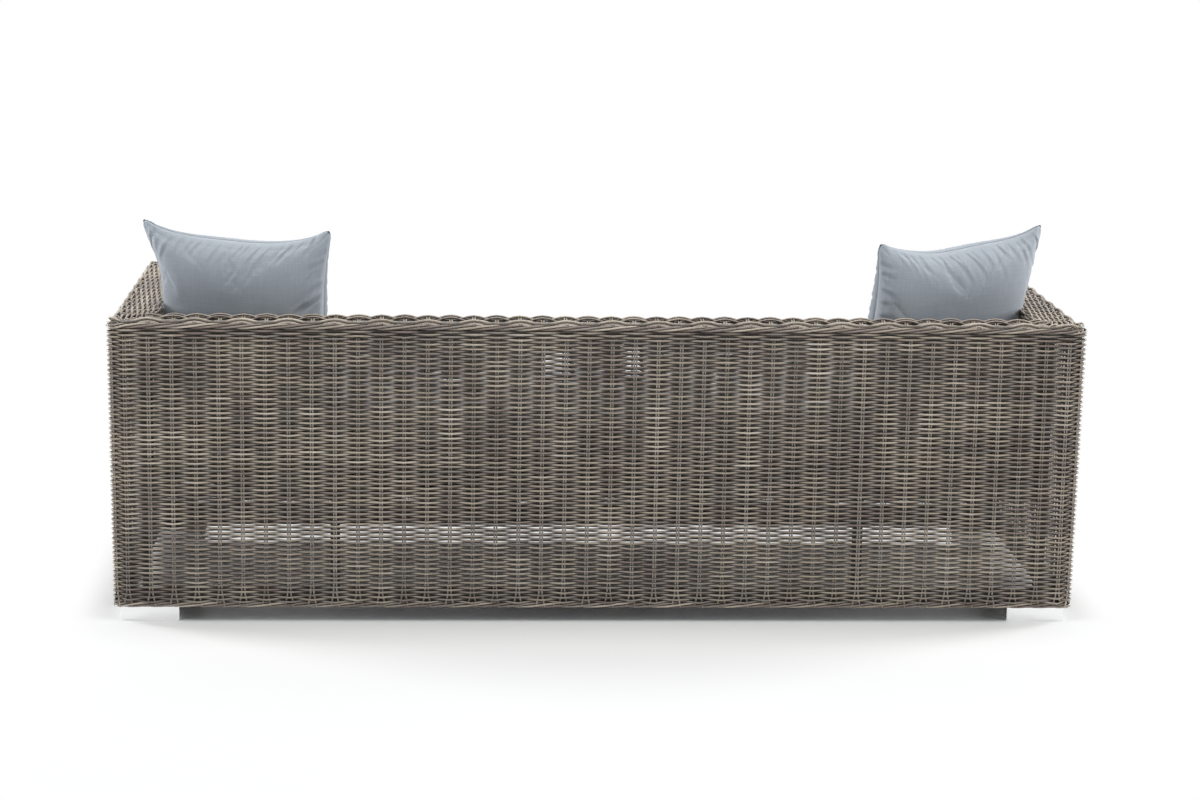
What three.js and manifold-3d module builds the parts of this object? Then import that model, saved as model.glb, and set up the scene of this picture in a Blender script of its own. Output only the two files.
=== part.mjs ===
// A three-seat garden sofa: woven round cane on a frame of aluminium tubes, four metal feet,
// three loose seat cushions and a loose pillow in each corner of the seat.
// Millimetres, +Z up. The origin is on the floor under the middle of the sofa.
// The seat faces -Y and the back stands at +Y. Left is the sitter's left, at +X.
import * as THREE from 'three';
import { mergeVertices } from 'three/addons/utils/BufferGeometryUtils.js';
import Module from 'manifold-3d';

const wasm = await Module();
wasm.setup();

// Overall size of the woven body
const WIDTH = 2100;
const DEPTH = 850;
const HEIGHT = 660;

// Back and arms, which are hollow boxes of two woven skins and a woven top
const WALL = 100;
const WEAVE = 15;
const CORNER_ROUND = 12;
const ROLLED_EDGE = 33;
const DECK_TOP = 300;

// Feet and their bolts
const FOOT = 127;
const FOOT_HEIGHT = 30;
const FOOT_INSET = 16;
const FOOT_WALL = 3;
const FOOT_FLOOR = 4;
const FOOT_EDGE_ROUND = 2;
const FOOT_BOSS = 24;
const BOLT_RADIUS = 3;
const BOLT_HEAD_RADIUS = 5;
const BOLT_HEAD_HEIGHT = 6;
const BOLT_HEAD_SUNK = 4;
const BOLT_REACH = 12;
const BOLT_CLEARANCE = 0.3;
const SOCKET_RADIUS = 2.5;
const SOCKET_DEPTH = 3;

// Aluminium tubes
const TUBE = 20;
const TUBE_WALL = 2;
const BOTTOM_RAIL_HEIGHT = 40;
const STRUT_FROM_MIDDLE = 570;

// Seat cushions
const CUSHION_COUNT = 3;
const CUSHION_GAP = 4;
const CUSHION_SIDE_GAP = 5;
const CUSHION_FRONT_INSET = 10;
const CUSHION_EDGE = 95;
const CUSHION_CROWN = 15;
const CUSHION_DRAWN_IN = 7;
const CUSHION_SIDE_BULGE = 3;
const CUSHION_CORNER_ROUND = 14;

// Corner pillows
const PILLOW = 445;
const PILLOW_THICK = 150;
const PILLOW_SEAM = 6;
const PILLOW_SIDE_DRAWN_IN = 24;
const PILLOW_TOP_DRAWN_IN = 34;
const PILLOW_SQUEEZE = 34;
const PILLOW_LEAN = THREE.MathUtils.degToRad(10);
const PILLOW_PLACES = {
  left: { fromArm: 4, fromBack: 7.5, turn: THREE.MathUtils.degToRad(19), droop: 7 },
  right: { fromArm: 11, fromBack: 6, turn: THREE.MathUtils.degToRad(25), droop: 30 },
};

// Soft pieces rest this far above what carries them
const REST_GAP = 0.3;

// How finely shapes are made, and small allowances of the modelling itself
const ARC_STEPS = 5;
const ROUND_SIDES = 16;
const CUSHION_STEPS = { across: 10, deep: 12, high: 3 };
const PILLOW_STEPS = 14;
const OVERRUN = 1;
const WELD = 0.001;

// Shapes of the soft forms, as powers and shares of their sizes
const CROWN_POWER = 6;
const EAR_POWER = 3;
const PILLOW_POWER = 2.3;
const PILLOW_FULLNESS = 0.62;
const PILLOW_SAG_SHARE = 0.16;
const SQUEEZE_START_SHARE = 0.95;
const SQUEEZE_END_SHARE = 0.5;

// Planes and centre lines that the sizes give
const halfWidth = WIDTH / 2;
const halfDepth = DEPTH / 2;
const armInside = halfWidth - WALL;
const backInside = halfDepth - WALL;
const outerLineX = halfWidth - WEAVE - TUBE / 2;
const innerLineX = armInside + WEAVE + TUBE / 2;
const outerLineY = halfDepth - WEAVE - TUBE / 2;
const innerLineY = backInside + WEAVE + TUBE / 2;
const bottomRailZ = FOOT_HEIGHT + BOTTOM_RAIL_HEIGHT / 2;
const postFoot = FOOT_HEIGHT + BOTTOM_RAIL_HEIGHT;
const capBottom = HEIGHT - WEAVE;
const skinTop = HEIGHT - ROLLED_EDGE;
const topRailZ = capBottom - TUBE / 2;
const postTop = capBottom - TUBE;
const deckBottom = DECK_TOP - WEAVE;
const seatRailZ = deckBottom - TUBE / 2;
const seatRailBottom = deckBottom - TUBE;

// Colours and finishes, one of each kind of stuff
const finishes = {
  metal: { color: 0xb9bcbf, roughness: 0.38, metalness: 1 },
  tube: { color: 0x4d4843, roughness: 0.55, metalness: 0.6 },
  bolt: { color: 0x8f9194, roughness: 0.35, metalness: 1 },
  cane: { color: 0x7a7068, roughness: 0.6, metalness: 0 },
  fabric: { color: 0x707b85, roughness: 0.95, metalness: 0 },
};

const sofa = new THREE.Group();
const sides = { left: 1, right: -1 };
const ends = { front: -1, back: 1 };

function place(name, geometry, finish, parent = sofa) {
  const mesh = new THREE.Mesh(geometry, new THREE.MeshStandardMaterial(finishes[finish]));
  mesh.name = name;
  parent.add(mesh);
  return mesh;
}

// Closed meshes as solids for cutting and joining, and back

function weldedPositions(geometry) {
  const bare = geometry.clone();
  bare.deleteAttribute('normal');
  bare.deleteAttribute('uv');
  return mergeVertices(bare, WELD);
}

function solidOf(geometry) {
  const welded = weldedPositions(geometry);
  return new wasm.Manifold(new wasm.Mesh({
    numProp: 3,
    vertProperties: new Float32Array(welded.attributes.position.array),
    triVerts: new Uint32Array(welded.index.array),
  }));
}

function geometryOf(solid) {
  const mesh = solid.getMesh();
  const geometry = new THREE.BufferGeometry();
  geometry.setAttribute('position', new THREE.BufferAttribute(mesh.vertProperties, 3));
  geometry.setIndex(new THREE.BufferAttribute(mesh.triVerts, 1));
  geometry.computeVertexNormals();
  return geometry;
}

// Boxes, prisms and round pieces

function boxBetween(low, high) {
  const size = new THREE.Vector3().subVectors(high, low);
  const middle = new THREE.Vector3().addVectors(low, high).multiplyScalar(1 / 2);
  const box = new THREE.BoxGeometry(size.x, size.y, size.z);
  return box.translate(middle.x, middle.y, middle.z);
}

function prism(shape, bottom, top) {
  const options = { depth: top - bottom, bevelEnabled: false, curveSegments: ARC_STEPS };
  return new THREE.ExtrudeGeometry(shape, options).translate(0, 0, bottom);
}

function rectangle(width, height, Kind = THREE.Shape) {
  const outline = new Kind();
  outline.moveTo(-width / 2, -height / 2);
  outline.lineTo(width / 2, -height / 2);
  outline.lineTo(width / 2, height / 2);
  outline.lineTo(-width / 2, height / 2);
  outline.closePath();
  return outline;
}

function roundedSquare(size, round) {
  const inner = size / 2 - round;
  const shape = new THREE.Shape();
  shape.absarc(inner, inner, round, 0, Math.PI / 2);
  shape.absarc(-inner, inner, round, Math.PI / 2, Math.PI);
  shape.absarc(-inner, -inner, round, Math.PI, 3 * Math.PI / 2);
  shape.absarc(inner, -inner, round, 3 * Math.PI / 2, 2 * Math.PI);
  shape.closePath();
  return shape;
}

function disc(radius, bottom, top) {
  const cylinder = new THREE.CylinderGeometry(radius, radius, top - bottom, ROUND_SIDES);
  return cylinder.rotateX(Math.PI / 2).translate(0, 0, (bottom + top) / 2);
}

// A square tube, open at both ends, along one axis from one centre point to the other
function tube(name, along, from, to, high = TUBE) {
  const flat = along === 'x' ? [high, TUBE] : [TUBE, high];
  const shape = rectangle(...flat);
  shape.holes.push(rectangle(flat[0] - 2 * TUBE_WALL, flat[1] - 2 * TUBE_WALL, THREE.Path));
  const mesh = place(name, prism(shape, 0, from.distanceTo(to)), 'tube');
  mesh.position.copy(from);
  if (along === 'x') mesh.rotation.y = Math.PI / 2;
  if (along === 'y') mesh.rotation.x = -Math.PI / 2;
  return mesh;
}

function railAcross(name, y, z, reach, high) {
  return tube(name, 'x', new THREE.Vector3(-reach, y, z), new THREE.Vector3(reach, y, z), high);
}

function railDeep(name, x, z, front, back, high) {
  return tube(name, 'y', new THREE.Vector3(x, front, z), new THREE.Vector3(x, back, z), high);
}

function post(name, x, y, bottom, top) {
  return tube(name, 'z', new THREE.Vector3(x, y, bottom), new THREE.Vector3(x, y, top));
}

// Feet: open-topped metal boxes with a boss, each held up to the rail above by one bolt

const footCentre = { x: halfWidth - FOOT_INSET - FOOT / 2, y: halfDepth - FOOT_INSET - FOOT / 2 };
const boltFromFootCentre = { x: innerLineX - footCentre.x, y: outerLineY - footCentre.y };
const boltSeat = BOLT_HEAD_SUNK + BOLT_HEAD_HEIGHT;

function footGeometry() {
  const { x, y } = boltFromFootCentre;
  const inside = FOOT - 2 * FOOT_WALL;
  const outer = solidOf(prism(roundedSquare(FOOT, FOOT_EDGE_ROUND), 0, FOOT_HEIGHT));
  const pocket = solidOf(prism(rectangle(inside, inside), FOOT_FLOOR, FOOT_HEIGHT + OVERRUN));
  const boss = boxBetween(
    new THREE.Vector3(x - FOOT_BOSS / 2, y - FOOT_BOSS / 2, 0),
    new THREE.Vector3(x + FOOT_BOSS / 2, FOOT / 2 - FOOT_WALL / 2, FOOT_HEIGHT),
  );
  const shankHole = disc(BOLT_RADIUS + BOLT_CLEARANCE, -OVERRUN, FOOT_HEIGHT + OVERRUN);
  const headHole = disc(BOLT_HEAD_RADIUS + BOLT_CLEARANCE, -OVERRUN, boltSeat);
  return geometryOf(outer
    .subtract(pocket)
    .add(solidOf(boss))
    .subtract(solidOf(shankHole.translate(x, y, 0)))
    .subtract(solidOf(headHole.translate(x, y, 0))));
}

function boltGeometry() {
  const tip = FOOT_HEIGHT + BOLT_REACH;
  const profile = [
    [0, BOLT_HEAD_SUNK + SOCKET_DEPTH],
    [SOCKET_RADIUS, BOLT_HEAD_SUNK + SOCKET_DEPTH],
    [SOCKET_RADIUS, BOLT_HEAD_SUNK],
    [BOLT_HEAD_RADIUS, BOLT_HEAD_SUNK],
    [BOLT_HEAD_RADIUS, boltSeat],
    [BOLT_RADIUS, boltSeat],
    [BOLT_RADIUS, tip],
    [0, tip],
  ].map(([radius, z]) => new THREE.Vector2(radius, z));
  return new THREE.LatheGeometry(profile, ROUND_SIDES).rotateX(Math.PI / 2);
}

function addFeet() {
  for (const [end, endSign] of Object.entries(ends)) {
    for (const [side, sideSign] of Object.entries(sides)) {
      const foot = place(`foot_${end}_${side}`, footGeometry(), 'metal');
      foot.position.set(sideSign * footCentre.x, endSign * footCentre.y, 0);
      const turned = endSign < 0;
      foot.rotation.z = turned ? Math.PI : 0;
      const mirrored = turned ? sideSign > 0 : sideSign < 0;
      if (mirrored) mirrorAcross(foot.geometry);
      const bolt = place(`foot_bolt_${end}_${side}`, boltGeometry(), 'bolt');
      bolt.position.set(sideSign * innerLineX, endSign * outerLineY, 0);
    }
  }
}

// Reflects a geometry in its own YZ plane and turns its faces back out
function mirrorAcross(geometry) {
  geometry.scale(-1, 1, 1);
  const index = geometry.index.array;
  for (let i = 0; i < index.length; i += 3) {
    [index[i], index[i + 1]] = [index[i + 1], index[i]];
  }
  geometry.computeVertexNormals();
}

// Tube frame

function drillForFeet(rail) {
  rail.updateMatrix();
  let solid = solidOf(rail.geometry.applyMatrix4(rail.matrix));
  const y = rail.position.y;
  for (const sign of Object.values(sides)) {
    const hole = disc(BOLT_RADIUS + BOLT_CLEARANCE, FOOT_HEIGHT - OVERRUN, bottomRailZ);
    solid = solid.subtract(solidOf(hole.translate(sign * innerLineX, y, 0)));
  }
  rail.geometry = geometryOf(solid);
  rail.position.set(0, 0, 0);
  rail.rotation.set(0, 0, 0);
}

function addBottomRails() {
  const fullReach = outerLineX + TUBE / 2;
  const reachBetween = outerLineX - TUBE / 2;
  const sideEnd = outerLineY - TUBE / 2;
  const high = BOTTOM_RAIL_HEIGHT;
  drillForFeet(railAcross('bottom_rail_back', outerLineY, bottomRailZ, fullReach, high));
  drillForFeet(railAcross('bottom_rail_front', -outerLineY, bottomRailZ, fullReach, high));
  railAcross('bottom_rail_inner', -innerLineY, bottomRailZ, reachBetween, high);
  for (const [side, sign] of Object.entries(sides)) {
    railDeep(`bottom_rail_${side}`, sign * outerLineX, bottomRailZ, -sideEnd, sideEnd, high);
  }
}

function addPosts() {
  for (const [side, sign] of Object.entries(sides)) {
    for (const [end, endSign] of Object.entries(ends)) {
      const y = endSign * outerLineY;
      post(`corner_post_${end}_${side}`, sign * outerLineX, y, postFoot, postTop);
      post(`arm_post_${end}_${side}`, sign * innerLineX, y, postFoot, postTop);
    }
    post(`seat_corner_post_${side}`, sign * innerLineX, innerLineY, deckBottom, postTop);
    post(`back_strut_${side}`, sign * STRUT_FROM_MIDDLE, outerLineY, postFoot, postTop);
    post(`front_strut_${side}`, sign * STRUT_FROM_MIDDLE, -outerLineY, postFoot, seatRailBottom);
  }
}

function addTopRails() {
  const front = -outerLineY - TUBE / 2;
  railAcross('top_rail_back_outer', outerLineY, topRailZ, outerLineX + TUBE / 2);
  railAcross('top_rail_back_inner', innerLineY, topRailZ, outerLineX - TUBE / 2);
  for (const [side, sign] of Object.entries(sides)) {
    const outerX = sign * outerLineX;
    const innerX = sign * innerLineX;
    railDeep(`top_rail_${side}_outer`, outerX, topRailZ, front, outerLineY - TUBE / 2);
    railDeep(`top_rail_${side}_inner`, innerX, topRailZ, front, innerLineY - TUBE / 2);
    const nearer = Math.min(outerX, innerX) + TUBE / 2;
    const further = Math.max(outerX, innerX) - TUBE / 2;
    const from = new THREE.Vector3(nearer, -outerLineY, topRailZ);
    const to = new THREE.Vector3(further, -outerLineY, topRailZ);
    tube(`arm_tie_${side}`, 'x', from, to);
  }
}

function addSeatRails() {
  const reach = innerLineX - TUBE / 2;
  const behindFront = -outerLineY + TUBE / 2;
  railAcross('seat_rail_front', -outerLineY, seatRailZ, reach);
  railAcross('seat_rail_back', innerLineY, seatRailZ, reach);
  for (const [side, sign] of Object.entries(sides)) {
    const back = outerLineY - TUBE / 2;
    railDeep(`seat_rail_${side}`, sign * innerLineX, seatRailZ, behindFront, back);
    const bearerX = sign * STRUT_FROM_MIDDLE;
    railDeep(`seat_bearer_${side}`, bearerX, seatRailZ, behindFront, innerLineY - TUBE / 2);
  }
}

// Woven skins: flat panels as thick as strand, stake and strand together

// An outline in plan of a skin along X, rounded where its outer face turns the corner
function skinPlan(from, to, outerY, innerY, roundFrom, roundTo) {
  const sign = Math.sign(outerY - innerY);
  const arcY = outerY - sign * CORNER_ROUND;
  const shape = new THREE.Shape();
  shape.moveTo(from, innerY);
  shape.lineTo(to, innerY);
  if (roundTo) {
    shape.lineTo(to, arcY);
    shape.absarc(to - CORNER_ROUND, arcY, CORNER_ROUND, 0, sign * Math.PI / 2, sign < 0);
  } else {
    shape.lineTo(to, outerY);
  }
  if (roundFrom) {
    const start = sign * Math.PI / 2;
    shape.lineTo(from + CORNER_ROUND, outerY);
    shape.absarc(from + CORNER_ROUND, arcY, CORNER_ROUND, start, sign * Math.PI, sign < 0);
  } else {
    shape.lineTo(from, outerY);
  }
  shape.closePath();
  return shape;
}

function addBackSkins() {
  const behind = halfDepth - WEAVE;
  const outerPlan = skinPlan(-halfWidth, halfWidth, halfDepth, behind, true, true);
  place('back_outer_weave', prism(outerPlan, FOOT_HEIGHT, skinTop), 'cane');
  place('back_inner_weave', boxBetween(
    new THREE.Vector3(-armInside, backInside, DECK_TOP),
    new THREE.Vector3(armInside, backInside + WEAVE, capBottom),
  ), 'cane');
}

function addArmSkins() {
  const end = halfDepth - WEAVE;
  for (const [side, sign] of Object.entries(sides)) {
    const outerX = [sign * halfWidth, sign * (halfWidth - WEAVE)].sort((a, b) => a - b);
    const innerX = [sign * armInside, sign * (armInside + WEAVE)].sort((a, b) => a - b);
    const frontX = [sign * armInside, sign * halfWidth].sort((a, b) => a - b);
    place(`${side}_arm_outer_weave`, boxBetween(
      new THREE.Vector3(outerX[0], -end, FOOT_HEIGHT),
      new THREE.Vector3(outerX[1], end, skinTop),
    ), 'cane');
    place(`${side}_arm_inner_weave`, boxBetween(
      new THREE.Vector3(innerX[0], -end, DECK_TOP),
      new THREE.Vector3(innerX[1], backInside + WEAVE, capBottom),
    ), 'cane');
    const plan = skinPlan(...frontX, -halfDepth, -end, sign < 0, sign > 0);
    place(`${side}_arm_front_weave`, prism(plan, FOOT_HEIGHT, skinTop), 'cane');
  }
}

function addSeatSkins() {
  place('front_apron_weave', boxBetween(
    new THREE.Vector3(-armInside, -halfDepth, FOOT_HEIGHT),
    new THREE.Vector3(armInside, -halfDepth + WEAVE, DECK_TOP),
  ), 'cane');
  const wide = innerLineX + TUBE / 2;
  const narrow = innerLineX - TUBE / 2;
  const steps = [
    [narrow, -outerLineY - TUBE / 2],
    [narrow, -outerLineY + TUBE / 2],
    [wide, -outerLineY + TUBE / 2],
    [wide, innerLineY - TUBE / 2],
    [narrow, innerLineY - TUBE / 2],
    [narrow, innerLineY + TUBE / 2],
  ];
  const mirroredSteps = steps.map(([x, y]) => [-x, y]).reverse();
  const deck = new THREE.Shape([...steps, ...mirroredSteps].map(([x, y]) => new THREE.Vector2(x, y)));
  place('seat_deck_weave', prism(deck, deckBottom, DECK_TOP), 'cane');
}

// Woven tops, each with the rolled edge that hangs down over the outer skins

function addBackTop() {
  const inner = halfDepth - WEAVE;
  const plan = skinPlan(-halfWidth, halfWidth, halfDepth, backInside, true, true);
  const hollow = boxBetween(
    new THREE.Vector3(-halfWidth + WEAVE, backInside - OVERRUN, skinTop - OVERRUN),
    new THREE.Vector3(halfWidth - WEAVE, inner, capBottom),
  );
  const cap = solidOf(prism(plan, skinTop, HEIGHT)).subtract(solidOf(hollow));
  place('back_top_weave', geometryOf(cap), 'cane');
}

function addArmTops() {
  const inner = halfDepth - WEAVE;
  for (const [side, sign] of Object.entries(sides)) {
    const across = [sign * armInside, sign * halfWidth].sort((a, b) => a - b);
    const underside = [sign * (armInside - OVERRUN), sign * (halfWidth - WEAVE)].sort((a, b) => a - b);
    const plan = skinPlan(...across, -halfDepth, backInside, sign < 0, sign > 0);
    const hollow = boxBetween(
      new THREE.Vector3(underside[0], -inner, skinTop - OVERRUN),
      new THREE.Vector3(underside[1], backInside + OVERRUN, capBottom),
    );
    const cap = solidOf(prism(plan, skinTop, HEIGHT)).subtract(solidOf(hollow));
    place(`${side}_arm_top_weave`, geometryOf(cap), 'cane');
  }
}

// Soft forms, each a subdivided box whose points are moved to the stuffed shape

function stuffed(steps, shapePoint) {
  const box = weldedPositions(new THREE.BoxGeometry(2, 2, 2, steps.across, steps.deep, steps.high));
  const points = box.attributes.position;
  for (let i = 0; i < points.count; i += 1) {
    points.setXYZ(i, ...shapePoint(points.getX(i), points.getY(i), points.getZ(i)));
  }
  box.computeVertexNormals();
  return box;
}

const cushionWidth = (2 * (armInside - CUSHION_SIDE_GAP) - (CUSHION_COUNT - 1) * CUSHION_GAP) / CUSHION_COUNT;
const cushionFront = -halfDepth + CUSHION_FRONT_INSET;
const cushionBack = backInside - CUSHION_SIDE_GAP;
const cushionBottom = DECK_TOP + REST_GAP;
const outerCushionX = (CUSHION_COUNT - 1) / 2 * (cushionWidth + CUSHION_GAP);

// How high a cushion is above its edge. across and deep run from -1 to 1 over the cushion.
function crownAt(across, deep) {
  return CUSHION_CROWN * (1 - across ** CROWN_POWER) * (1 - deep ** CROWN_POWER);
}

// A boxed cushion with a flat underside, a crowned top and sides drawn in between its corners.
// across, deep and up run from -1 to 1 over the box that it starts from.
function seatCushionPoint(across, deep, up) {
  const drawnX = CUSHION_DRAWN_IN * (1 - deep ** 2) - CUSHION_SIDE_BULGE * (1 - up ** 2);
  const drawnY = CUSHION_DRAWN_IN * (1 - across ** 2) - CUSHION_SIDE_BULGE * (1 - up ** 2);
  const corner = CUSHION_CORNER_ROUND * (across * deep) ** CROWN_POWER;
  const halfAcross = cushionWidth / 2 - CUSHION_SIDE_BULGE - drawnX - corner;
  const halfDeep = (cushionBack - cushionFront) / 2 - CUSHION_SIDE_BULGE - drawnY - corner;
  const high = CUSHION_EDGE + crownAt(across, deep);
  return [across * halfAcross, deep * halfDeep, (up + 1) / 2 * high];
}

function addSeatCushions() {
  ['right', 'middle', 'left'].forEach((name, i) => {
    const cushion = place(`seat_cushion_${name}`, stuffed(CUSHION_STEPS, seatCushionPoint), 'fabric');
    const fromMiddle = i - (CUSHION_COUNT - 1) / 2;
    cushion.position.set(
      fromMiddle * (cushionWidth + CUSHION_GAP),
      (cushionFront + cushionBack) / 2,
      cushionBottom,
    );
  });
}

// A square pillow of two faces sewn together, with an ear at each corner. It stands on one
// side, which its weight straightens, and the arm beside it squeezes its lower outer corner.
// out runs towards the arm, through towards the back and up from the seat, each from -1 to 1.
function pillowPoint(out, through, up, droop) {
  const half = PILLOW / 2;
  const height = (up + 1) / 2;
  const squeeze = PILLOW_SQUEEZE * THREE.MathUtils.smoothstep(
    SQUEEZE_START_SHARE - height,
    0,
    SQUEEZE_START_SHARE - SQUEEZE_END_SHARE,
  );
  const sidePull = PILLOW_SIDE_DRAWN_IN * (1 - Math.abs(up) ** EAR_POWER) * Math.abs(out);
  const topPull = PILLOW_TOP_DRAWN_IN * (1 - Math.abs(out) ** EAR_POWER) * Math.max(up, 0) ** 2;
  const x = out * (half - sidePull - squeeze * Math.max(out, 0));
  const z = height * PILLOW - topPull - droop * height ** 2 * Math.max(-out, 0) ** 2;
  const round = (1 - Math.abs(out) ** PILLOW_POWER) * (1 - Math.abs(up) ** PILLOW_POWER);
  const fill = (1 - PILLOW_SAG_SHARE * up) * Math.max(round, 0) ** PILLOW_FULLNESS;
  const thick = PILLOW_SEAM + (PILLOW_THICK - PILLOW_SEAM) * fill;
  return [x, through * thick / 2, z];
}

// Where a pillow stands on the outer seat cushion: its lower outer corner is near the arm and
// its upper inner ear is near the back
function pillowFoot({ fromArm, fromBack, turn }) {
  const leanBack = PILLOW * Math.sin(PILLOW_LEAN) * Math.cos(turn);
  const cornerReach = (PILLOW / 2 - PILLOW_SQUEEZE) * Math.cos(turn);
  const earReach = PILLOW / 2 * Math.sin(turn) + leanBack;
  const x = armInside - fromArm - cornerReach;
  const y = backInside - fromBack - earReach;
  const across = (x - outerCushionX) / (cushionWidth / 2);
  const deep = (2 * y - cushionFront - cushionBack) / (cushionBack - cushionFront);
  const lift = PILLOW_SEAM / 2 * Math.sin(PILLOW_LEAN) + REST_GAP;
  return { x, y, z: cushionBottom + CUSHION_EDGE + crownAt(across, deep) + lift };
}

function addCornerPillows() {
  const steps = { across: PILLOW_STEPS, deep: 1, high: PILLOW_STEPS };
  for (const [side, sign] of Object.entries(sides)) {
    const spot = PILLOW_PLACES[side];
    const geometry = stuffed(steps, (out, through, up) => pillowPoint(out, through, up, spot.droop));
    const foot = pillowFoot(spot);
    const corner = new THREE.Group();
    corner.position.set(sign * foot.x, foot.y, foot.z);
    corner.rotation.z = -sign * spot.turn;
    sofa.add(corner);
    if (sign < 0) mirrorAcross(geometry);
    const pillow = place(`corner_pillow_${side}`, geometry, 'fabric', corner);
    pillow.rotation.x = -PILLOW_LEAN;
  }
}

addFeet();
addBottomRails();
addPosts();
addTopRails();
addSeatRails();
addBackSkins();
addArmSkins();
addSeatSkins();
addBackTop();
addArmTops();
addSeatCushions();
addCornerPillows();

export default sofa;
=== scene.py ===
import math

import bpy
import numpy as np
from mathutils import Matrix, Vector


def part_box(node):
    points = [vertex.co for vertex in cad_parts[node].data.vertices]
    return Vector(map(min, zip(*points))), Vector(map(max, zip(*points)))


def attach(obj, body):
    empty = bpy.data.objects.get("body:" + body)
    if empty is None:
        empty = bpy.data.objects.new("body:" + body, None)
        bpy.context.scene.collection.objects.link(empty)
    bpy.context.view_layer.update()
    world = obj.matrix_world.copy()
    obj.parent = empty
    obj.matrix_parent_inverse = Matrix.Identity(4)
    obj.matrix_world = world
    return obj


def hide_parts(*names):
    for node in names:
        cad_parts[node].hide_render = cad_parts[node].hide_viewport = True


# A three-seat garden sofa of woven round cane, with seat cushions and two corner pillows.
# Metres, +Z up. The seat faces -Y and the back stands at +Y. Left is the sitter's left, at +X.

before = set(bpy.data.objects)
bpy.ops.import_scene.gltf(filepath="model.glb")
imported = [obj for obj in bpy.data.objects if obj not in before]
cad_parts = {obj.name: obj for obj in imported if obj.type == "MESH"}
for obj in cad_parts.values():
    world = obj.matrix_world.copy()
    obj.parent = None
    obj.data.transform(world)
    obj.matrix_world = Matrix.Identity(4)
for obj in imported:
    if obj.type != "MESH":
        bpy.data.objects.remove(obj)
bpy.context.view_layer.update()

MM = 0.001

# Strands, which swing out and in as they pass the stakes
STRAND = 2.3 * MM
SWING = 5.0 * MM
ROW_STEP = 5.27 * MM
TUBE_SIDES = 6
STEPS_PER_STAKE = 4
POINT_GAP = 2 * MM
BOW = 0.6 * MM
WANDER = 0.35 * MM
WANDER_CELL = 230 * MM
WANDER_REACH = 12
BOW_SEED = 12
BOW_STAKES = 120

# Corners in plan
CORNER_INSET = 34 * MM
CORNER_RADIUS = 9 * MM
CORNER_STEPS = 12
CORNER_CLEAR_SHARE = 1.6
CORNER_POINT_SHARES = (-1.3, -1, -0.5, 0, 0.5, 1, 1.3)
CORNER_LIFT = 2.6 * MM
CORNER_LIFT_REACH = 14 * MM
CORNER_PUSH = 6.5 * MM
CORNER_PUSH_REACH = 32 * MM

# Stakes, which are pairs of rods
STAKE_STEP = 50 * MM
STAKE_ROD = 1.75 * MM
STAKE_ROD_OFF = 2.5 * MM
STAKE_SPREAD = 7 * MM
STAKE_SPREAD_FROM = 34 * MM
STAKE_CLEAR = 3 * MM
STAKE_LEAST_POINTS = 4
STAKE_TONES = (0.6, 0.95)
# The rods are lifted above their tone, a painted light where they catch the light between the strands
STAKE_PAINTED_LIGHT = (1.0, 1.15)
STAKE_GRAIN_SHIFT = 3
SIDE_STAKES = 17
INNER_ARM_STAKES = 15
INNER_STAKE_SHARE = 1.0143

# Tones and shades of the strands
TONE_SEED = 11
TONE_GROUP = 16
TONE_CELL = 110 * MM
TONE_REACH = 6.5
TONE_SHARES = (0.5, 0.4, 0.1)
TONE_CONTRAST = 1.35
TONE_KEPT_SHARE = 0.3
OWN_TONE_SHARE = 0.7
SHADE_SPREAD = 0.07
# Painted light on the side of a strand that stands out, partly wear, and painted shade where it runs behind a
# stake
PROUD_WEAR_AND_LIGHT = 0.14
OUTSIDE_FROM = -0.866
OUTSIDE_BLEND = 1.15
RECESS_SHADE = 0.7
RECESS_SHARES = (0.2, 0.75)
# Painted shade: the walls grow darker towards the bottom
GROUND_SHADE = 0.2
GROUND_REACH = 260 * MM

# Borders of the weave
WALE_SEED = 13
WALE_RODS = 3
WALE_ROWS = 12
WALE_CELL = 160 * MM
WALE_TONES = (0.75, 0.1, 0.35)
WALE_RISE = 4.6 * MM
WALE_SHARES = (0, 0.1, 0.22, 0.45, 0.57, 0.67, 0.75, 0.84, 0.92, 1.0)
WALE_SWING_SHARES = (0, 0.72, 1.0, 1.0, 0.72, 0, -0.8, -1.0, -0.8, 0)
WALE_RISE_SHARES = (-1, -0.85, -0.55, 0.45, 0.8, 1.0, 0.7, 0, -0.7, -1.0)
TOP_WALE_DOWN = 10 * MM
TOP_WALE_CLEAR = 9 * MM
TOP_WALE_INSET = 0.6 * MM
TOP_WALE_OUT = 0.97
TOP_WALE_UP = 0.24
BOTTOM_WALE_UP = 7.5 * MM
BOTTOM_TUCK = 20 * MM
TUCK_CURL_SHARE = 0.75
TUCK_DEPTH_SHARE = 0.9
BORDER_CLEAR = 7.5 * MM
WAVY_ROWS = 4
WAVY_DIP = 2.2 * MM
UNSEEN_ROWS = 3
SPARE_ROWS = 40

# Skins
BACK_SPLIT = 340 * MM
INNER_DROP = 6.1 * MM
LOOSE_DROP = 5.7 * MM
LOOSE_PLACES = ((93 * MM, 26 * MM), (-74 * MM, 15 * MM))
LOOSE_BLEND = 14 * MM
LOOSE_HEIGHTS = (541 * MM, 594 * MM)
LOOSE_HEIGHT_BLEND = 30 * MM

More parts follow.
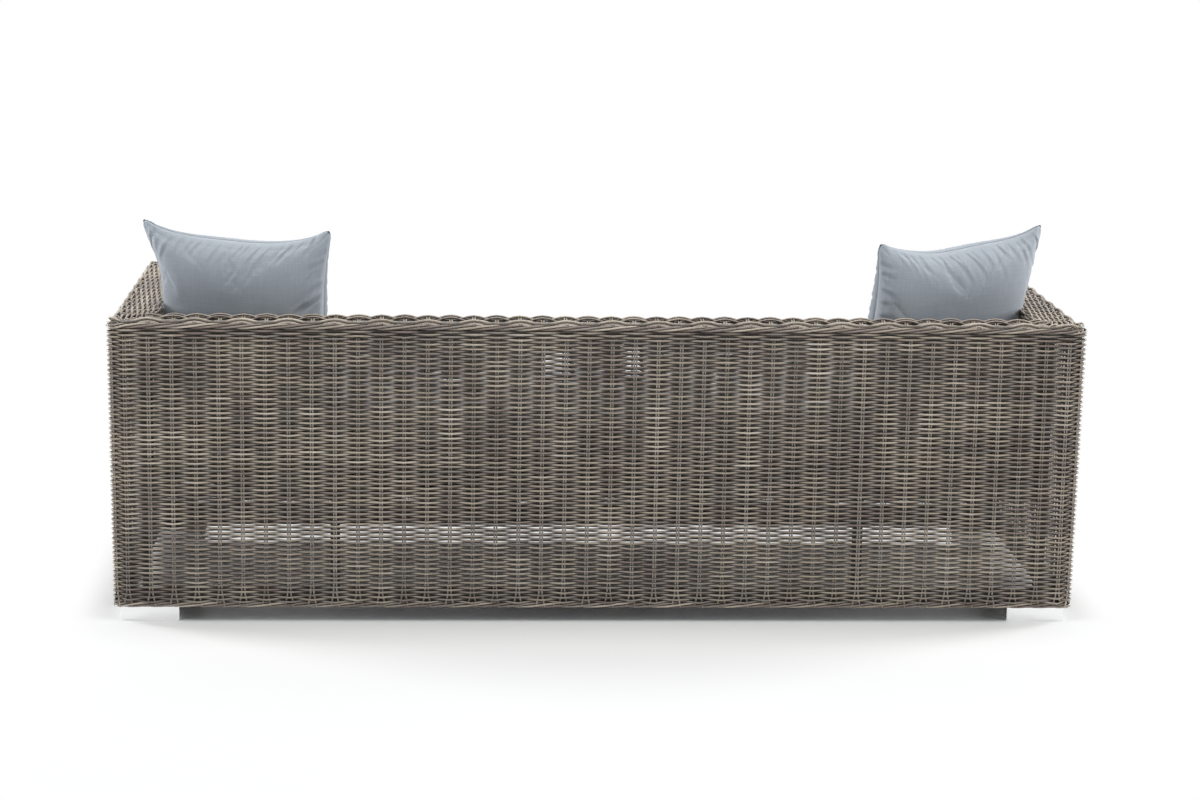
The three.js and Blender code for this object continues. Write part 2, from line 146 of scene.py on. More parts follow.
# Woven tops, with the row that turns over their outer edge
TOP_ROWS = 15
TOP_FIRST_INDEX = 6
TOP_PROUD = 5.5 * MM
TOP_FIRST = 4.5 * MM
TOP_FRONT_CLEAR = 2 * MM
TOP_RADIUS = 7 * MM
TOP_STAKE_MARGIN = 12 * MM
TOP_LAST_OUT = -0.5
TOP_LAST_UP = 0.87
RIM_SAG = {"back": 11 * MM, "arm": 3.5 * MM}
RIM_WIDTHS = (5 * MM, 14 * MM)
RIM_BLEND = 180 * MM
UNDER_ROWS = 3
UNDER_OUT = -0.4
EDGE_INDEX = 4
EDGE_RISE = 9.9 * MM
EDGE_OUT = 0.3
EDGE_UP = 0.8
EDGE_TONE = 0.8
EDGE_BLEND = 70 * MM
ARM_EDGE_DROP = 4 * MM
ARM_EDGE_CALM = 0.55
ACROSS_PAST = 6 * MM
ACROSS_POINTS = 13
BACK_ACROSS_SEED = 900
CORNER_ACROSS_SEED = 960
SIDE_ACROSS_SEED = 970
ARM_ACROSS_SEED = 1000
CORNER_SIDE_STAKES = 2

# Seat deck
DECK_STEP = 2 * ROW_STEP
DECK_CLEAR = 4 * MM
DECK_UP = 0.6
DECK_STAKE_POINTS = 12
DECK_SEED = 1100

# Corner pillows. What differs is given for the left and for the right.
PILLOW = 445 * MM
PILLOW_THICK = 150 * MM
PILLOW_POWER = 2.3
PILLOW_FULLNESS = 0.5
PILLOW_SAG_SHARE = 0.16
PILLOW_LIP = 1.6 * MM
PILLOW_LIP_REACH = 1.65 * MM
PILLOW_SEAM_LINES = (1.5 * MM, 4 * MM)
PILLOW_GROOVE = 3.5 * MM
PILLOW_STILL = (4 * MM, 22 * MM)
PILLOW_SEAM = 1.6 * MM
PILLOW_SEAM_OUT = 1.8 * MM
PILLOW_SIDE_DRAWN_IN = 24 * MM
PILLOW_TOP_DRAWN_IN = 34 * MM
SIDE_PULL_POWER = 12
TOP_PULL_POWER = 6
PILLOW_SQUEEZES = {"left": 26 * MM, "right": 24 * MM}
PILLOW_SQUEEZE_SHARES = {"left": (1.0, 0.72), "right": (0.95, 0.35)}
PILLOW_SPLAYS = {"left": 36 * MM, "right": 0}
SPLAY_SHARE = 0.72
PILLOW_LEAN = math.radians(12)
PILLOW_TURNS = {"left": math.radians(19), "right": math.radians(25)}
PILLOW_DROOPS = {"left": 3 * MM, "right": 24 * MM}
PILLOW_DIPS = {"left": 5 * MM, "right": 15 * MM}
PILLOW_DIP_SHARES = (-0.25, 0.42)
PILLOW_ARM_GAPS = {"left": 8.5 * MM, "right": 4 * MM}
PILLOW_CLEAR = 0.2 * MM
PILLOW_SEEDS = {"left": 41, "right": 143}
PILLOW_CELLS = 84
EAR_POWER = 3
EAR_RISE = 17 * MM
EAR_RISE_POWER = 7
EAR_ROUND = 28 * MM
PILLOW_CUT = 1.02
FACES_APART = 300 * MM

# Seat cushions. The one simulated cover is turned for each place.
CUSHION_EDGE = 95 * MM
CUSHION_CROWN = 15 * MM
CUSHION_DRAWN_IN = 7 * MM
CUSHION_BULGE = 3 * MM
CUSHION_CORNER = 14 * MM
CUSHION_CELLS = (64, 74, 9)
CUSHION_TURNS = {"left": (-1, 1, 1), "middle": (1, 1, 1), "right": (-1, -1, 1)}
CROWN_POWER = 4
PIPING = 2.6 * MM
EDGE_SHARE = 1 - 1e-6
CORD_TONE = 0.5
CORD_SIDES = 8

# Creases from a seam into the face: step, shortest and longest, width, slope and depth
TOP_CREASES = (23 * MM, (60 * MM, 120 * MM), 4.2 * MM, 0.42, 3.4 * MM)
INNER_CREASES = (34 * MM, (30 * MM, 85 * MM), 6 * MM, -0.45, 4.4 * MM)
OUTER_CREASES = (50 * MM, (40 * MM, 80 * MM), 6 * MM, 1.1, 2.2 * MM)
CUSHION_CREASES = (42 * MM, (60 * MM, 150 * MM), 10 * MM, 0.2, 3 * MM)
CREASE_SEED_STEP = 10
CUSHION_SEED = 77
CREASE_REACH_SHARE = 0.85
CREASE_SHIFT_SHARE = 0.25
CREASE_SLOPE_SHARES = (0.7, 1.3)
CREASE_DEPTH_SHARES = (0.4, 1)
CREASE_WIDTH_SHARE = 0.7
CREASE_START_SPEED = 5
CREASE_END_SPEED = 1.4
RIDGE_SHARE = 0.55
RIDGE_OFF = 1.7

# Cloth simulation, and how much of its movement is kept
CLOTH = {
    "quality": 6,
    "mass": 0.2,
    "air_damping": 4,
    "tension_damping": 8,
    "compression_damping": 8,
    "shear_damping": 8,
    "use_pressure": True,
}
SHEAR_SHARE = 1 / 3
PILLOW_RUN = {"pressure": 5, "frames": 24, "growth": 0, "stiffness": 18, "bending": 0.08}
CUSHION_RUN = {"pressure": 3, "frames": 18, "growth": 0.02, "stiffness": 16, "bending": 0.3}
PILLOW_KEPT = {"broad_share": 0.1, "broad_cap": 6 * MM, "fine_cap": 2.5 * MM, "rounds": 60}
CUSHION_KEPT = {"broad_share": 0.3, "broad_cap": 5 * MM, "fine_cap": 4 * MM, "rounds": 60}

# Colours, from 0 to 255 as they are seen, the darker one first
CANE_SHARES = (0.0, 0.2, 0.34, 0.5, 0.66, 0.82, 1.0)
CANE_COLOURS = (
    (106, 90, 82), (123, 108, 99), (125, 116, 108), (147, 134, 122), (157, 144, 127), (176, 164, 149),
    (194, 183, 169),
)
ALUMINIUM_COLOUR = (250, 250, 251)
ZINC_COLOUR = (190, 192, 194)
COAT_COLOURS = ((66, 60, 55), (82, 75, 69))
PILLOW_COLOURS = ((148, 155, 163), (177, 183, 190))
SEAT_COLOURS = ((148, 155, 163), (168, 175, 183))
PIPING_COLOURS = ((146, 153, 161), (166, 173, 181))
# Dark cord that paints the shadow along the pillows' seams
SEAM_SHADOW_COLOURS = ((80, 86, 94), (96, 102, 110))
NEAR_SHARES = (0.3, 0.7)
WIDE_SHARES = (0.25, 0.75)

# Noises: scale, detail, roughness and stretch
CANE_STREAKS = (2.2, 4, 0.65, (9, 1.4, 1.4))
CANE_FINE = (1.6, 3, 0.6, (160, 2.6, 2.6))
METAL_GRAIN = (1.0, 5, 0.7)
ALUMINIUM_STRETCH = (12, 900, 900)
ZINC_STRETCH = (300, 300, 300)
COAT_PEBBLES = (900, 2, 0.5)
COAT_PATCHES = (14, 3, 0.6)
SLUBS_ALONG = (1.0, 3, 0.7, (28, 28, 480))
SLUBS_ACROSS = (1.0, 3, 0.7, (480, 28, 28))
FABRIC_BROAD = (7, 3, 0.55)
TWILL = (1.5, 3, 0.6, (700, 1, 1))

# Strength and depth of the bumps
CANE_BUMP = (0.35, 0.4 * MM)
METAL_BUMP = (0.25, 0.05 * MM)
COAT_BUMP = (0.3, 0.1 * MM)
THREAD_BUMP = (0.35, 0.25 * MM)
TWILL_BUMP = (0.3, 0.2 * MM)

# How strongly a noise acts, and the value that it is added to
STREAK_SHADE = (0.5, 0.75)
CANE_ROUGH = (0.22, 0.19)
METAL_ROUGH_SPREAD = 0.2
METAL_DARK_SHARE = 0.92
ALUMINIUM_ROUGH = 0.2
ZINC_ROUGH = 0.3
SLUB_SHADE = 0.42
BROAD_SHADE = 0.16
PILLOW_THREAD = 1.1 * MM
SEAT_THREAD = 1.3 * MM
WAVES_PER_UNIT = 20

# Floor, surround and lamps
FLOOR_SIZE = 60
FLOOR_FADE = 1.5
FLOOR_SIDE_SPEED = 14
FLOOR_AHEAD_SPEED = 3
FLOOR_FRONT_FADE = 38 * MM
FLOOR_FRONT = -262 * MM
FLOOR_FRONT_SHARE = 0.74
FLOOR_COLOUR = (0.86, 0.86, 0.852, 1)
WHITE = (1, 1, 1, 1)
WORLD_LIGHT = 0.23
WORLD_TINT = (0.72, 0.86, 1.0, 1)
WARM = (1, 0.985, 0.965)
PLAIN = (1, 1, 1)
# Each lamp's name, place, aim, size, power and colour
LAMPS = (
    ("overhead", (0, 0.9, 3.4), (0, 0, 0), (4.5, 3.0), 117, WARM),
    ("left_front", (4.0, -1.0, 1.5), (0.9, 0, 0.6), (1.2, 1.6), 95, PLAIN),
    ("right_front", (-4.0, -1.0, 1.5), (-0.9, 0, 0.6), (1.2, 1.6), 95, PLAIN),
    ("left_side", (4.2, 2.6, 1.7), (0, 0.3, 0.4), (1.5, 2), 18, PLAIN),
    ("right_side", (-4.2, 2.6, 1.7), (0, 0.3, 0.4), (1.5, 2), 34, PLAIN),
)

# Camera, from the photograph's corners and feet. The image is 1200 by 800.
IMAGE_WIDTH = 1200
FOCAL_PIXELS = 2826.8
SENSOR_MM = 36
CAMERA_PLACE = Vector((0.3485, 6.3794, 1.68485))
CAMERA_TURN = math.radians(3.338)
CAMERA_DOWN = math.radians(11.2752)
CAMERA_ROLL = math.radians(0.9673)
CAMERA_REACH = 100

# Planes of the woven body, from the CAD frame
back_low, back_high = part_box("back_outer_weave")
inner_low, inner_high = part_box("back_inner_weave")
deck_low, deck_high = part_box("seat_deck_weave")
middle = (inner_high.y - inner_low.y) / 2
half_width = back_high.x
back_face = back_high.y
front_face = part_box("front_apron_weave")[0].y
arm_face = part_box("left_arm_inner_weave")[0].x
inner_face = inner_low.y
weave_bottom = back_low.z
skin_top = back_high.z
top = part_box("back_top_weave")[1].z

# Centre surfaces of the skins
out_x = half_width - middle
out_y = back_face - middle
front_y = front_face + middle
in_x = arm_face + middle
in_y = inner_face + middle
top_middle = top - middle
deck_middle = (deck_low.z + deck_high.z) / 2

# Heights of the rows on the walls
wale_height = top - TOP_WALE_DOWN
bottom_wale = weave_bottom + BOTTOM_WALE_UP
first_row = bottom_wale + BORDER_CLEAR
row_count = int((wale_height - TOP_WALE_CLEAR - first_row) / ROW_STEP) + 1
deck_edge = deck_high.z - BORDER_CLEAR - DECK_CLEAR


def smooth_step(value):
    value = np.clip(value, 0, 1)
    return value * value * (3 - 2 * value)


def passed(value, start, end):
    """From 0 at the start to 1 at the end, smoothly."""
    return smooth_step((value - start) / (end - start))


def unit(vectors):
    return vectors / np.linalg.norm(vectors, axis=-1, keepdims=True)


def run_along(points):
    """How far along the points each one lies."""
    return np.concatenate([[0], np.cumsum(np.linalg.norm(np.diff(points, axis=0), axis=1))])


# Routes in plan

class Route:
    """The left half of a path that is the same on both sides. Distances below zero, or past the
    far end, are on the mirrored right half. The normal is on the left of the way."""

    def __init__(self, corners, radius):
        corners = [np.array(corner, float) for corner in corners]
        self.distance = [0.0]
        self.points = [corners[0]]
        self.heading = []
        self.leg_start = []
        self.leg_trim = []
        self.corners = []
        trim = 0.0
        for i in range(len(corners) - 1):
            run = corners[i + 1] - corners[i]
            heading = math.atan2(run[1], run[0])
            if self.heading:
                heading += 2 * math.pi * round((self.heading[-1] - heading) / (2 * math.pi))
                self.turn_to(heading, radius)
            else:
                self.heading.append(heading)
            self.leg_start.append(self.distance[-1])
            self.leg_trim.append(trim)
            last = i == len(corners) - 2
            cut = 0.0 if last else radius
            self.go(np.linalg.norm(run) - trim - cut)
            trim = cut
        self.length = self.distance[-1]
        self.xs, self.ys = np.array(self.points).T

    def go(self, length):
        heading = self.heading[-1]
        step = np.array((math.cos(heading), math.sin(heading))) * length
        self.points.append(self.points[-1] + step)
        self.heading.append(heading)
        self.distance.append(self.distance[-1] + length)

    def turn_to(self, heading, radius):
        start = self.heading[-1]
        side = math.copysign(1, heading - start)
        hub = self.points[-1] + side * radius * np.array((-math.sin(start), math.cos(start)))
        swept = radius * abs(heading - start)
        first = self.distance[-1]
        self.corners.append(first + swept / 2)
        for i in range(1, CORNER_STEPS + 1):
            angle = start + (heading - start) * i / CORNER_STEPS
            self.points.append(hub - side * radius * np.array((-math.sin(angle), math.cos(angle))))
            self.heading.append(angle)
            self.distance.append(first + swept * i / CORNER_STEPS)

    def on_leg(self, leg, offset):
        """Distance along the route of a point on a straight leg, offset from its first corner."""
        return self.leg_start[leg] + offset - self.leg_trim[leg]

    def fold(self, distances):
        """The distances on the left half, and -1 where they were on the right half, or else 1."""
        wrapped = np.where(distances > self.length, distances - 2 * self.length, distances)
        return np.abs(wrapped), np.where(wrapped < 0, -1.0, 1.0)

    def at(self, distances):
        """Points and normals in plan."""
        along, mirror = self.fold(distances)
        x = np.interp(along, self.distance, self.xs) * mirror
        y = np.interp(along, self.distance, self.ys)
        angle = np.interp(along, self.distance, self.heading)
        return np.stack([x, y], axis=-1), np.stack([-np.sin(angle) * mirror, np.cos(angle)], axis=-1)


class Weave:
    """A route with the stakes on it, which say where its strands swing out and in."""

    def __init__(self, route, stakes, closed=True):
        self.route = route
        self.stakes = np.array(sorted(stakes))
        after = 2 * route.length - self.stakes[-1] if closed else self.stakes[-1] + STAKE_STEP
        self.knots = np.concatenate([[-self.stakes[0]], self.stakes, [after]])
        self.counts = np.arange(-1, len(self.stakes) + 1, dtype=float)

    def phase(self, distances):
        along, mirror = self.route.fold(distances)
        return np.interp(along, self.knots, self.counts), mirror

    def swing(self, distances):
        """+1 and -1 in turn at the stakes, and 0 halfway between them."""
        phase, mirror = self.phase(distances)
        return np.cos(np.pi * phase) * mirror

    def samples(self, start, end):
        shares = np.arange(STEPS_PER_STAKE) / STEPS_PER_STAKE
        steps = self.knots[:-1, None] + np.diff(self.knots)[:, None] * shares[None, :]
        length = self.route.length
        half = [value for value in steps.ravel() if 0 <= value <= length]
        reach = CORNER_RADIUS * math.pi / 4
        for corner in self.route.corners:
            half = [value for value in half if abs(value - corner) > CORNER_CLEAR_SHARE * reach]
            half += [corner + reach * share for share in CORNER_POINT_SHARES]
        full = self.everywhere(np.array(half))
        inside = np.sort(full[(full > start + POINT_GAP) & (full < end - POINT_GAP)])
        kept = inside[np.concatenate([[True], np.diff(inside) > POINT_GAP / 2])]
        return np.concatenate([[start], kept, [end]])

    def everywhere(self, distances):
        """The distances, and their mirrored places before the start and past the far end."""
        return np.concatenate([distances, -distances, 2 * self.route.length - distances])


def evenly(first, last, count):
    return [first + (last - first) * i / (count - 1) for i in range(count)]


def half_leg(reach):
    """Stakes from the middle of a wall to reach, with a crossing in the middle."""
    count = round(reach / STAKE_STEP - 0.5) + 1
    step = reach / (count - 0.5)
    return [step * (i + 0.5) for i in range(count)]


corner_inset = CORNER_INSET - middle
back_stakes = half_leg(out_x - corner_inset)
side_stakes = evenly(corner_inset, out_y - front_y - corner_inset, SIDE_STAKES)
inner_arm_stakes = evenly(corner_inset, in_y - front_y - corner_inset, INNER_ARM_STAKES)
inner_back_stakes = [x * INNER_STAKE_SHARE for x in back_stakes]
inner_back_stakes = [x for x in inner_back_stakes if x < in_x - corner_inset / 2]


def outer_stakes(route):
    return (
        route.corners
        + [route.on_leg(0, offset) for offset in back_stakes]
        + [route.on_leg(1, offset) for offset in side_stakes]
        + [route.on_leg(2, (out_x - in_x) / 2)]
    )


def outer_spans(route, front):
    """Where each outer skin starts and ends along the route. The fronts of the arms end at front."""
    back = route.on_leg(1, middle)
    side = route.on_leg(1, out_y - front_y - middle)
    return {
        "back": (-back, back),
        "left_side": (back, side),
        "right_side": (-side, -back),
        "left_front": (side, front),
        "right_front": (-front, -side),
    }


outer_corners = [(0, out_y), (out_x, out_y), (out_x, front_y)]
high_route = Route(outer_corners + [(in_x, front_y), (in_x, in_y), (0, in_y)], CORNER_RADIUS)
high_weave = Weave(high_route, outer_stakes(high_route)
                   + [high_route.on_leg(3, offset) for offset in inner_arm_stakes]
                   + [high_route.on_leg(4, in_x - x) for x in inner_back_stakes])
high_front = high_route.on_leg(3, middle)
high_inner = high_route.on_leg(4, middle)
high_weave.spans = outer_spans(high_route, high_front) | {
    "left_inner": (high_front, high_inner),
    "right_inner": (-high_inner, -high_front),
    "inner_back": (high_inner, 2 * high_route.length - high_inner),
}

low_route = Route(outer_corners + [(0, front_y)], CORNER_RADIUS)
low_weave = Weave(low_route, outer_stakes(low_route)
                  + [low_route.on_leg(2, out_x - x) for x in half_leg(in_x)])
low_front = low_route.on_leg(2, out_x - arm_face)
low_weave.spans = outer_spans(low_route, low_front) | {
    "apron": (low_front, 2 * low_route.length - low_front),
}


# Tones: every strand changes slowly along its length, and near rows of one weaver are alike

class Tones:
    def __init__(self, seed, rows, reach, cell):
        rng = np.random.default_rng(seed)
        self.cell = cell
        self.shift = reach + cell
        cells = int(2 * self.shift / cell) + 4
        groups = rows // TONE_GROUP + 3
        self.groups = rng.random((2, groups, cells))
        self.singles = rng.random((rows, cells))
        self.rows = rng.random(rows)
        self.shades = rng.normal(1.0, SHADE_SPREAD, (rows, cells))

    def blend(self, table, distances, share=1.0):
        place = (distances + self.shift) / self.cell * share
        index = np.clip(np.floor(place).astype(int), 0, len(table) - 2)
        part = smooth_step(place - index)
        return table[index] * (1 - part) + table[index + 1] * part

    def at(self, row, distances):
        """Tone and shade of a row."""
        parity = row % 2
        group = row / TONE_GROUP
        lower = int(group)
        mix = group - lower
        near = self.blend(self.groups[parity][lower], distances) * (1 - mix)
        near += self.blend(self.groups[parity][lower + 1], distances) * mix
        own = self.blend(self.singles[row], distances, OWN_TONE_SHARE)
        tone = TONE_SHARES[0] * near + TONE_SHARES[1] * own + TONE_SHARES[2] * self.rows[row]
        tone = np.clip((tone - 0.5) * TONE_CONTRAST + 0.5, 0, 1)
        return tone, self.blend(self.shades[row], distances)


class Bows:
    """Small seeded bends of the strands: one for each crossing of a stake, and a slow wander."""

    def __init__(self, seed, rows, stakes):
        rng = np.random.default_rng(seed)
        self.bends = rng.normal(0, BOW, (rows, 2 * stakes + 8))
        self.wander = Tones(seed + 1, rows, WANDER_REACH, WANDER_CELL)

    def at(self, weave, row, distances):
        phase, mirror = weave.phase(distances)
        nearest = np.round(phase).astype(int) + 2
        nearest = np.where(mirror < 0, nearest + len(weave.stakes) + 3, nearest)
        lift = self.bends[row.index][nearest] * np.cos(np.pi * phase) ** 2
        slow = self.wander.blend(self.wander.singles[row.index], distances) - 0.5
        swing = weave.swing(distances) * row.sign
        dip = row.dip * np.maximum(swing, 0) ** 2
        return lift + 2 * WANDER * slow - dip + corner_lift(weave.route, distances)


wall_tones = Tones(TONE_SEED, row_count + SPARE_ROWS, TONE_REACH, TONE_CELL)
wall_bows = Bows(BOW_SEED, row_count + SPARE_ROWS, BOW_STAKES)
wale_tones = Tones(WALE_SEED, WALE_ROWS, TONE_REACH, WALE_CELL)


def wear_and_recess_shade(reach, facing):
    """Strands are lighter on the side that stands out, partly bleached by wear and partly a painted light.
    They are darker with painted shade on the side that is drawn in behind a stake, where shadow falls."""
    outside = np.clip((facing - OUTSIDE_FROM) / OUTSIDE_BLEND, 0, 1)
    behind = passed(-reach, *RECESS_SHARES) * outside + passed(reach, *RECESS_SHARES) * (1 - outside)
    proud = np.maximum(reach * facing, 0)
    return 1 + PROUD_WEAR_AND_LIGHT * proud - RECESS_SHADE * behind


# Pieces and their meshes

def new_object(name, data):
    piece = bpy.data.objects.new(name, data)
    bpy.context.scene.collection.objects.link(piece)
    return piece


def add_piece(name, mesh, material, body, nodes):
    """A piece that rides on a body and stands for the nodes."""
    mesh.materials.append(material)
    piece = new_object(name, mesh)
    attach(piece, body)
    if nodes:
        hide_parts(*nodes)
    return piece


def add_attribute(mesh, name, values):
    """A number or a vector at each point."""
    kind, field = ("FLOAT", "value") if values.ndim == 1 else ("FLOAT_VECTOR", "vector")
    layer = mesh.attributes.new(name, kind, "POINT")
    layer.data.foreach_set(field, np.ascontiguousarray(values, dtype=np.float32).ravel())


class Bundle:
    """Tubes gathered into one mesh. Each point knows its tone, its shade and its grain, which is
    the distance along the strand and the direction round it."""

    def __init__(self, name):
        self.name = name
        self.parts = []
        self.count = 0
        self.quads = []
        self.caps = []

    def tube(self, centres, outward, radius, tone, shade, along, sides=TUBE_SIDES, reach=None):
        """The reach says where the strand stands out, at 1, and where it runs behind, at -1."""
        rings = len(centres)
        way = unit(np.gradient(centres, axis=0))
        across = unit(np.cross(way, outward))
        over = np.cross(across, way)
        angles = 2 * np.pi * (np.arange(sides) + 0.5) / sides
        cosines, sines = np.cos(angles), np.sin(angles)
        round_the_way = cosines[:, None] * over[:, None, :] + sines[:, None] * across[:, None, :]
        points = centres[:, None, :] + radius * round_the_way
        grain = np.empty((rings, sides, 3))
        grain[..., 0] = along[:, None]
        grain[..., 1] = cosines[None, :]
        grain[..., 2] = sines[None, :]
        shades = np.broadcast_to(np.asarray(shade, float).reshape(-1, 1), (rings, sides))
        # Painted light and painted shade, by how far the strand stands out
        if reach is not None:
            shades = shades * wear_and_recess_shade(reach[:, None], cosines[None, :])
        tones = np.repeat(np.broadcast_to(tone, (rings,)), sides)
        self.parts.append((points.reshape(-1, 3), tones, shades.ravel(), grain.reshape(-1, 3)))
        ring = np.arange(rings - 1)[:, None] * sides
        side = np.arange(sides)[None, :]
        following = (side + 1) % sides
        corners = [ring + side, ring + following, ring + sides + following, ring + sides + side]
        self.quads.append(np.stack(corners, axis=-1).reshape(-1, 4) + self.count)
        self.caps.append(np.arange(sides)[::-1] + self.count)
        self.caps.append(np.arange(sides) + (rings - 1) * sides + self.count)
        self.count += rings * sides

    def cord(self, centres, outward, radius):
        """A plain cord, for sewn piping and for the dark painted shadow along a pillow's seam."""
        self.tube(centres, outward, radius, CORD_TONE, 1.0, run_along(centres), CORD_SIDES)

    def build(self, material, body, slot, nodes):
        points, tones, shades, grains = (np.concatenate(part) for part in zip(*self.parts))
        quads = np.concatenate(self.quads)
        caps = np.array(self.caps)
        loops = np.concatenate([quads.ravel(), caps.ravel()])
        cap_starts = len(quads) * 4 + np.arange(len(caps)) * caps.shape[1]
        starts = np.concatenate([np.arange(len(quads)) * 4, cap_starts])
        mesh = bpy.data.meshes.new(self.name)
        mesh.vertices.add(len(points))
        mesh.vertices.foreach_set("co", points.ravel())
        mesh.loops.add(len(loops))
        mesh.loops.foreach_set("vertex_index", loops.astype(np.int32))
        mesh.polygons.add(len(starts))
        mesh.polygons.foreach_set("loop_start", starts.astype(np.int32))
        mesh.update(calc_edges=True)
        mesh.validate()
        mesh.shade_smooth()
        for name, values in (("tone", tones), ("shade", shades), ("grain", grains)):
            add_attribute(mesh, name, values)
        add_piece(self.name, mesh, material, body, nodes)


# Materials

def linear(colour):
    """A colour as the shader wants it, from 0 to 255 as it is seen."""
    values = [value / 255 for value in colour]
    return [value / 12.92 if value <= 0.04045 else ((value + 0.055) / 1.055) ** 2.4 for value in values] + [1]


class Graph:
    """The nodes of a material or of the world."""

    def __init__(self, owner):
        owner.use_nodes = True
        self.owner = owner
        self.nodes = owner.node_tree.nodes
        self.links = owner.node_tree.links

    def fill(self, node, inputs):
        """Numbers, colours and links on a node's inputs, by name or by place."""
        for name, value in inputs.items():
            if isinstance(value, bpy.types.NodeSocket):
                self.links.new(value, node.inputs[name])
            else:
                node.inputs[name].default_value = value

    def add(self, kind, inputs, output=0, **settings):
        """A new node. What comes back is its output."""
        node = self.nodes.new("ShaderNode" + kind)
        for name, value in settings.items():
            setattr(node, name, value)
        self.fill(node, inputs)
        return node.outputs[output]

    def math(self, operation, *values):
        return self.add("Math", dict(enumerate(values)), operation=operation)

    def ramp(self, factor, shares, colours):
        output = self.add("ValToRGB", {0: factor})
        elements = output.node.color_ramp.elements
        while len(elements) < len(shares):
            elements.new(0.5)
        for element, share, colour in zip(elements, shares, colours):
            element.position = share
            element.color = colour
        return output

    def noise(self, vector, scale, detail, roughness, stretch=None):
        if stretch:
            vector = self.add("Mapping", {"Vector": vector, "Scale": stretch})
        inputs = {"Vector": vector, "Scale": scale, "Detail": detail, "Roughness": roughness}
        return self.add("TexNoise", inputs, "Fac")

    def bump(self, height, strength, distance):
        return self.add("Bump", {"Height": height, "Strength": strength, "Distance": distance})

    def attribute(self, name, output="Vector"):
        return self.add("Attribute", {}, output, attribute_name=name)

    def object_place(self):
        return self.add("TexCoord", {}, "Object")

    def fade(self, value, reach):
        """From 0 to 1, smoothly, as the value goes from 0 to the reach."""
        return self.add("MapRange", {"Value": value, "From Max": reach}, interpolation_type="SMOOTHSTEP")

    def seen_rays(self):
        """1 for rays from the camera and for those that metal and glass show, and 0 for others."""
        paths = self.nodes.new("ShaderNodeLightPath").outputs
        seen = self.math("MAXIMUM", paths["Is Camera Ray"], paths["Is Glossy Ray"])
        return self.math("MAXIMUM", seen, paths["Is Transmission Ray"])


def new_material(name):
    graph = Graph(bpy.data.materials.new(name))
    return graph, graph.nodes["Principled BSDF"]


def cane_material():
    graph, shader = new_material("round_cane")
    grain = graph.attribute("grain")
    streaks = graph.noise(grain, *CANE_STREAKS)
    fine = graph.noise(grain, *CANE_FINE)
    colour = graph.ramp(graph.attribute("tone", "Fac"), CANE_SHARES, map(linear, CANE_COLOURS))
    streak_shade = graph.math("MULTIPLY_ADD", streaks, *STREAK_SHADE)
    shade = graph.math("MULTIPLY", streak_shade, graph.attribute("shade", "Fac"))
    graph.fill(shader, {
        "Base Color": graph.add("VectorMath", {0: colour, "Scale": shade}, operation="SCALE"),
        "Roughness": graph.math("MULTIPLY_ADD", fine, *CANE_ROUGH),
        "Normal": graph.bump(streaks, *CANE_BUMP),
        "Specular IOR Level": 0.5,
        "Coat Weight": 0.35,
        "Coat Roughness": 0.2,
    })
    return graph.owner


def metal_material(name, colour, roughness, stretch):
    """Metal brushed along X."""
    graph, shader = new_material(name)
    brushed = graph.noise(graph.object_place(), *METAL_GRAIN, stretch)
    light = linear(colour)
    dark = [METAL_DARK_SHARE * part for part in light[:3]] + [1]
    graph.fill(shader, {
        "Base Color": graph.ramp(brushed, WIDE_SHARES, (dark, light)),
        "Metallic": 1.0,
        "Roughness": graph.math("MULTIPLY_ADD", brushed, METAL_ROUGH_SPREAD, roughness),
        "Normal": graph.bump(brushed, *METAL_BUMP),
    })
    return graph.owner


def coated_material():
    """Dark powder coat on the tubes."""
    graph, shader = new_material("powder_coat")
    place = graph.object_place()
    patches = graph.noise(place, *COAT_PATCHES)
    graph.fill(shader, {
        "Base Color": graph.ramp(patches, NEAR_SHARES, map(linear, COAT_COLOURS)),
        "Roughness": 0.6,
        "Normal": graph.bump(graph.noise(place, *COAT_PEBBLES), *COAT_BUMP),
    })
    return graph.owner


def fabric_material(name, colours, thread):
    """Plain woven outdoor fabric: two sets of threads, slubs along them and a soft fuzz."""
    graph, shader = new_material(name)
    place = graph.attribute("cloth")
    slubs = graph.math("ADD", graph.noise(place, *SLUBS_ALONG), graph.noise(place, *SLUBS_ACROSS))
    broad = graph.math("MULTIPLY", graph.noise(place, *FABRIC_BROAD), BROAD_SHADE)
    mixed = graph.math("MULTIPLY_ADD", slubs, SLUB_SHADE, broad)
    wave = {"Vector": place, "Scale": 1 / (thread * WAVES_PER_UNIT), "Distortion": 0.6, "Detail": 1}
    ripples = [graph.add("TexWave", wave, "Fac", bands_direction=direction) for direction in ("X", "Z")]
    graph.fill(shader, {
        "Base Color": graph.ramp(mixed, WIDE_SHARES, map(linear, colours)),
        "Roughness": 0.85,
        "Sheen Weight": 0.25,
        "Sheen Roughness": 0.5,
        "Specular IOR Level": 0.25,
        "Normal": graph.bump(graph.math("MULTIPLY", *ripples), *THREAD_BUMP),
    })
    return graph.owner


# Cord cloth: the cushions' piping, and the dark painted shadow along the pillows' seams
def piping_and_seam_shadow_material(name, colours):
    graph, shader = new_material(name)
    twill = graph.noise(graph.attribute("grain"), *TWILL)
    graph.fill(shader, {
        "Base Color": graph.ramp(twill, NEAR_SHARES, map(linear, colours)),
        "Roughness": 0.85,
        "Sheen Weight": 0.2,
        "Normal": graph.bump(twill, *TWILL_BUMP),
    })
    return graph.owner


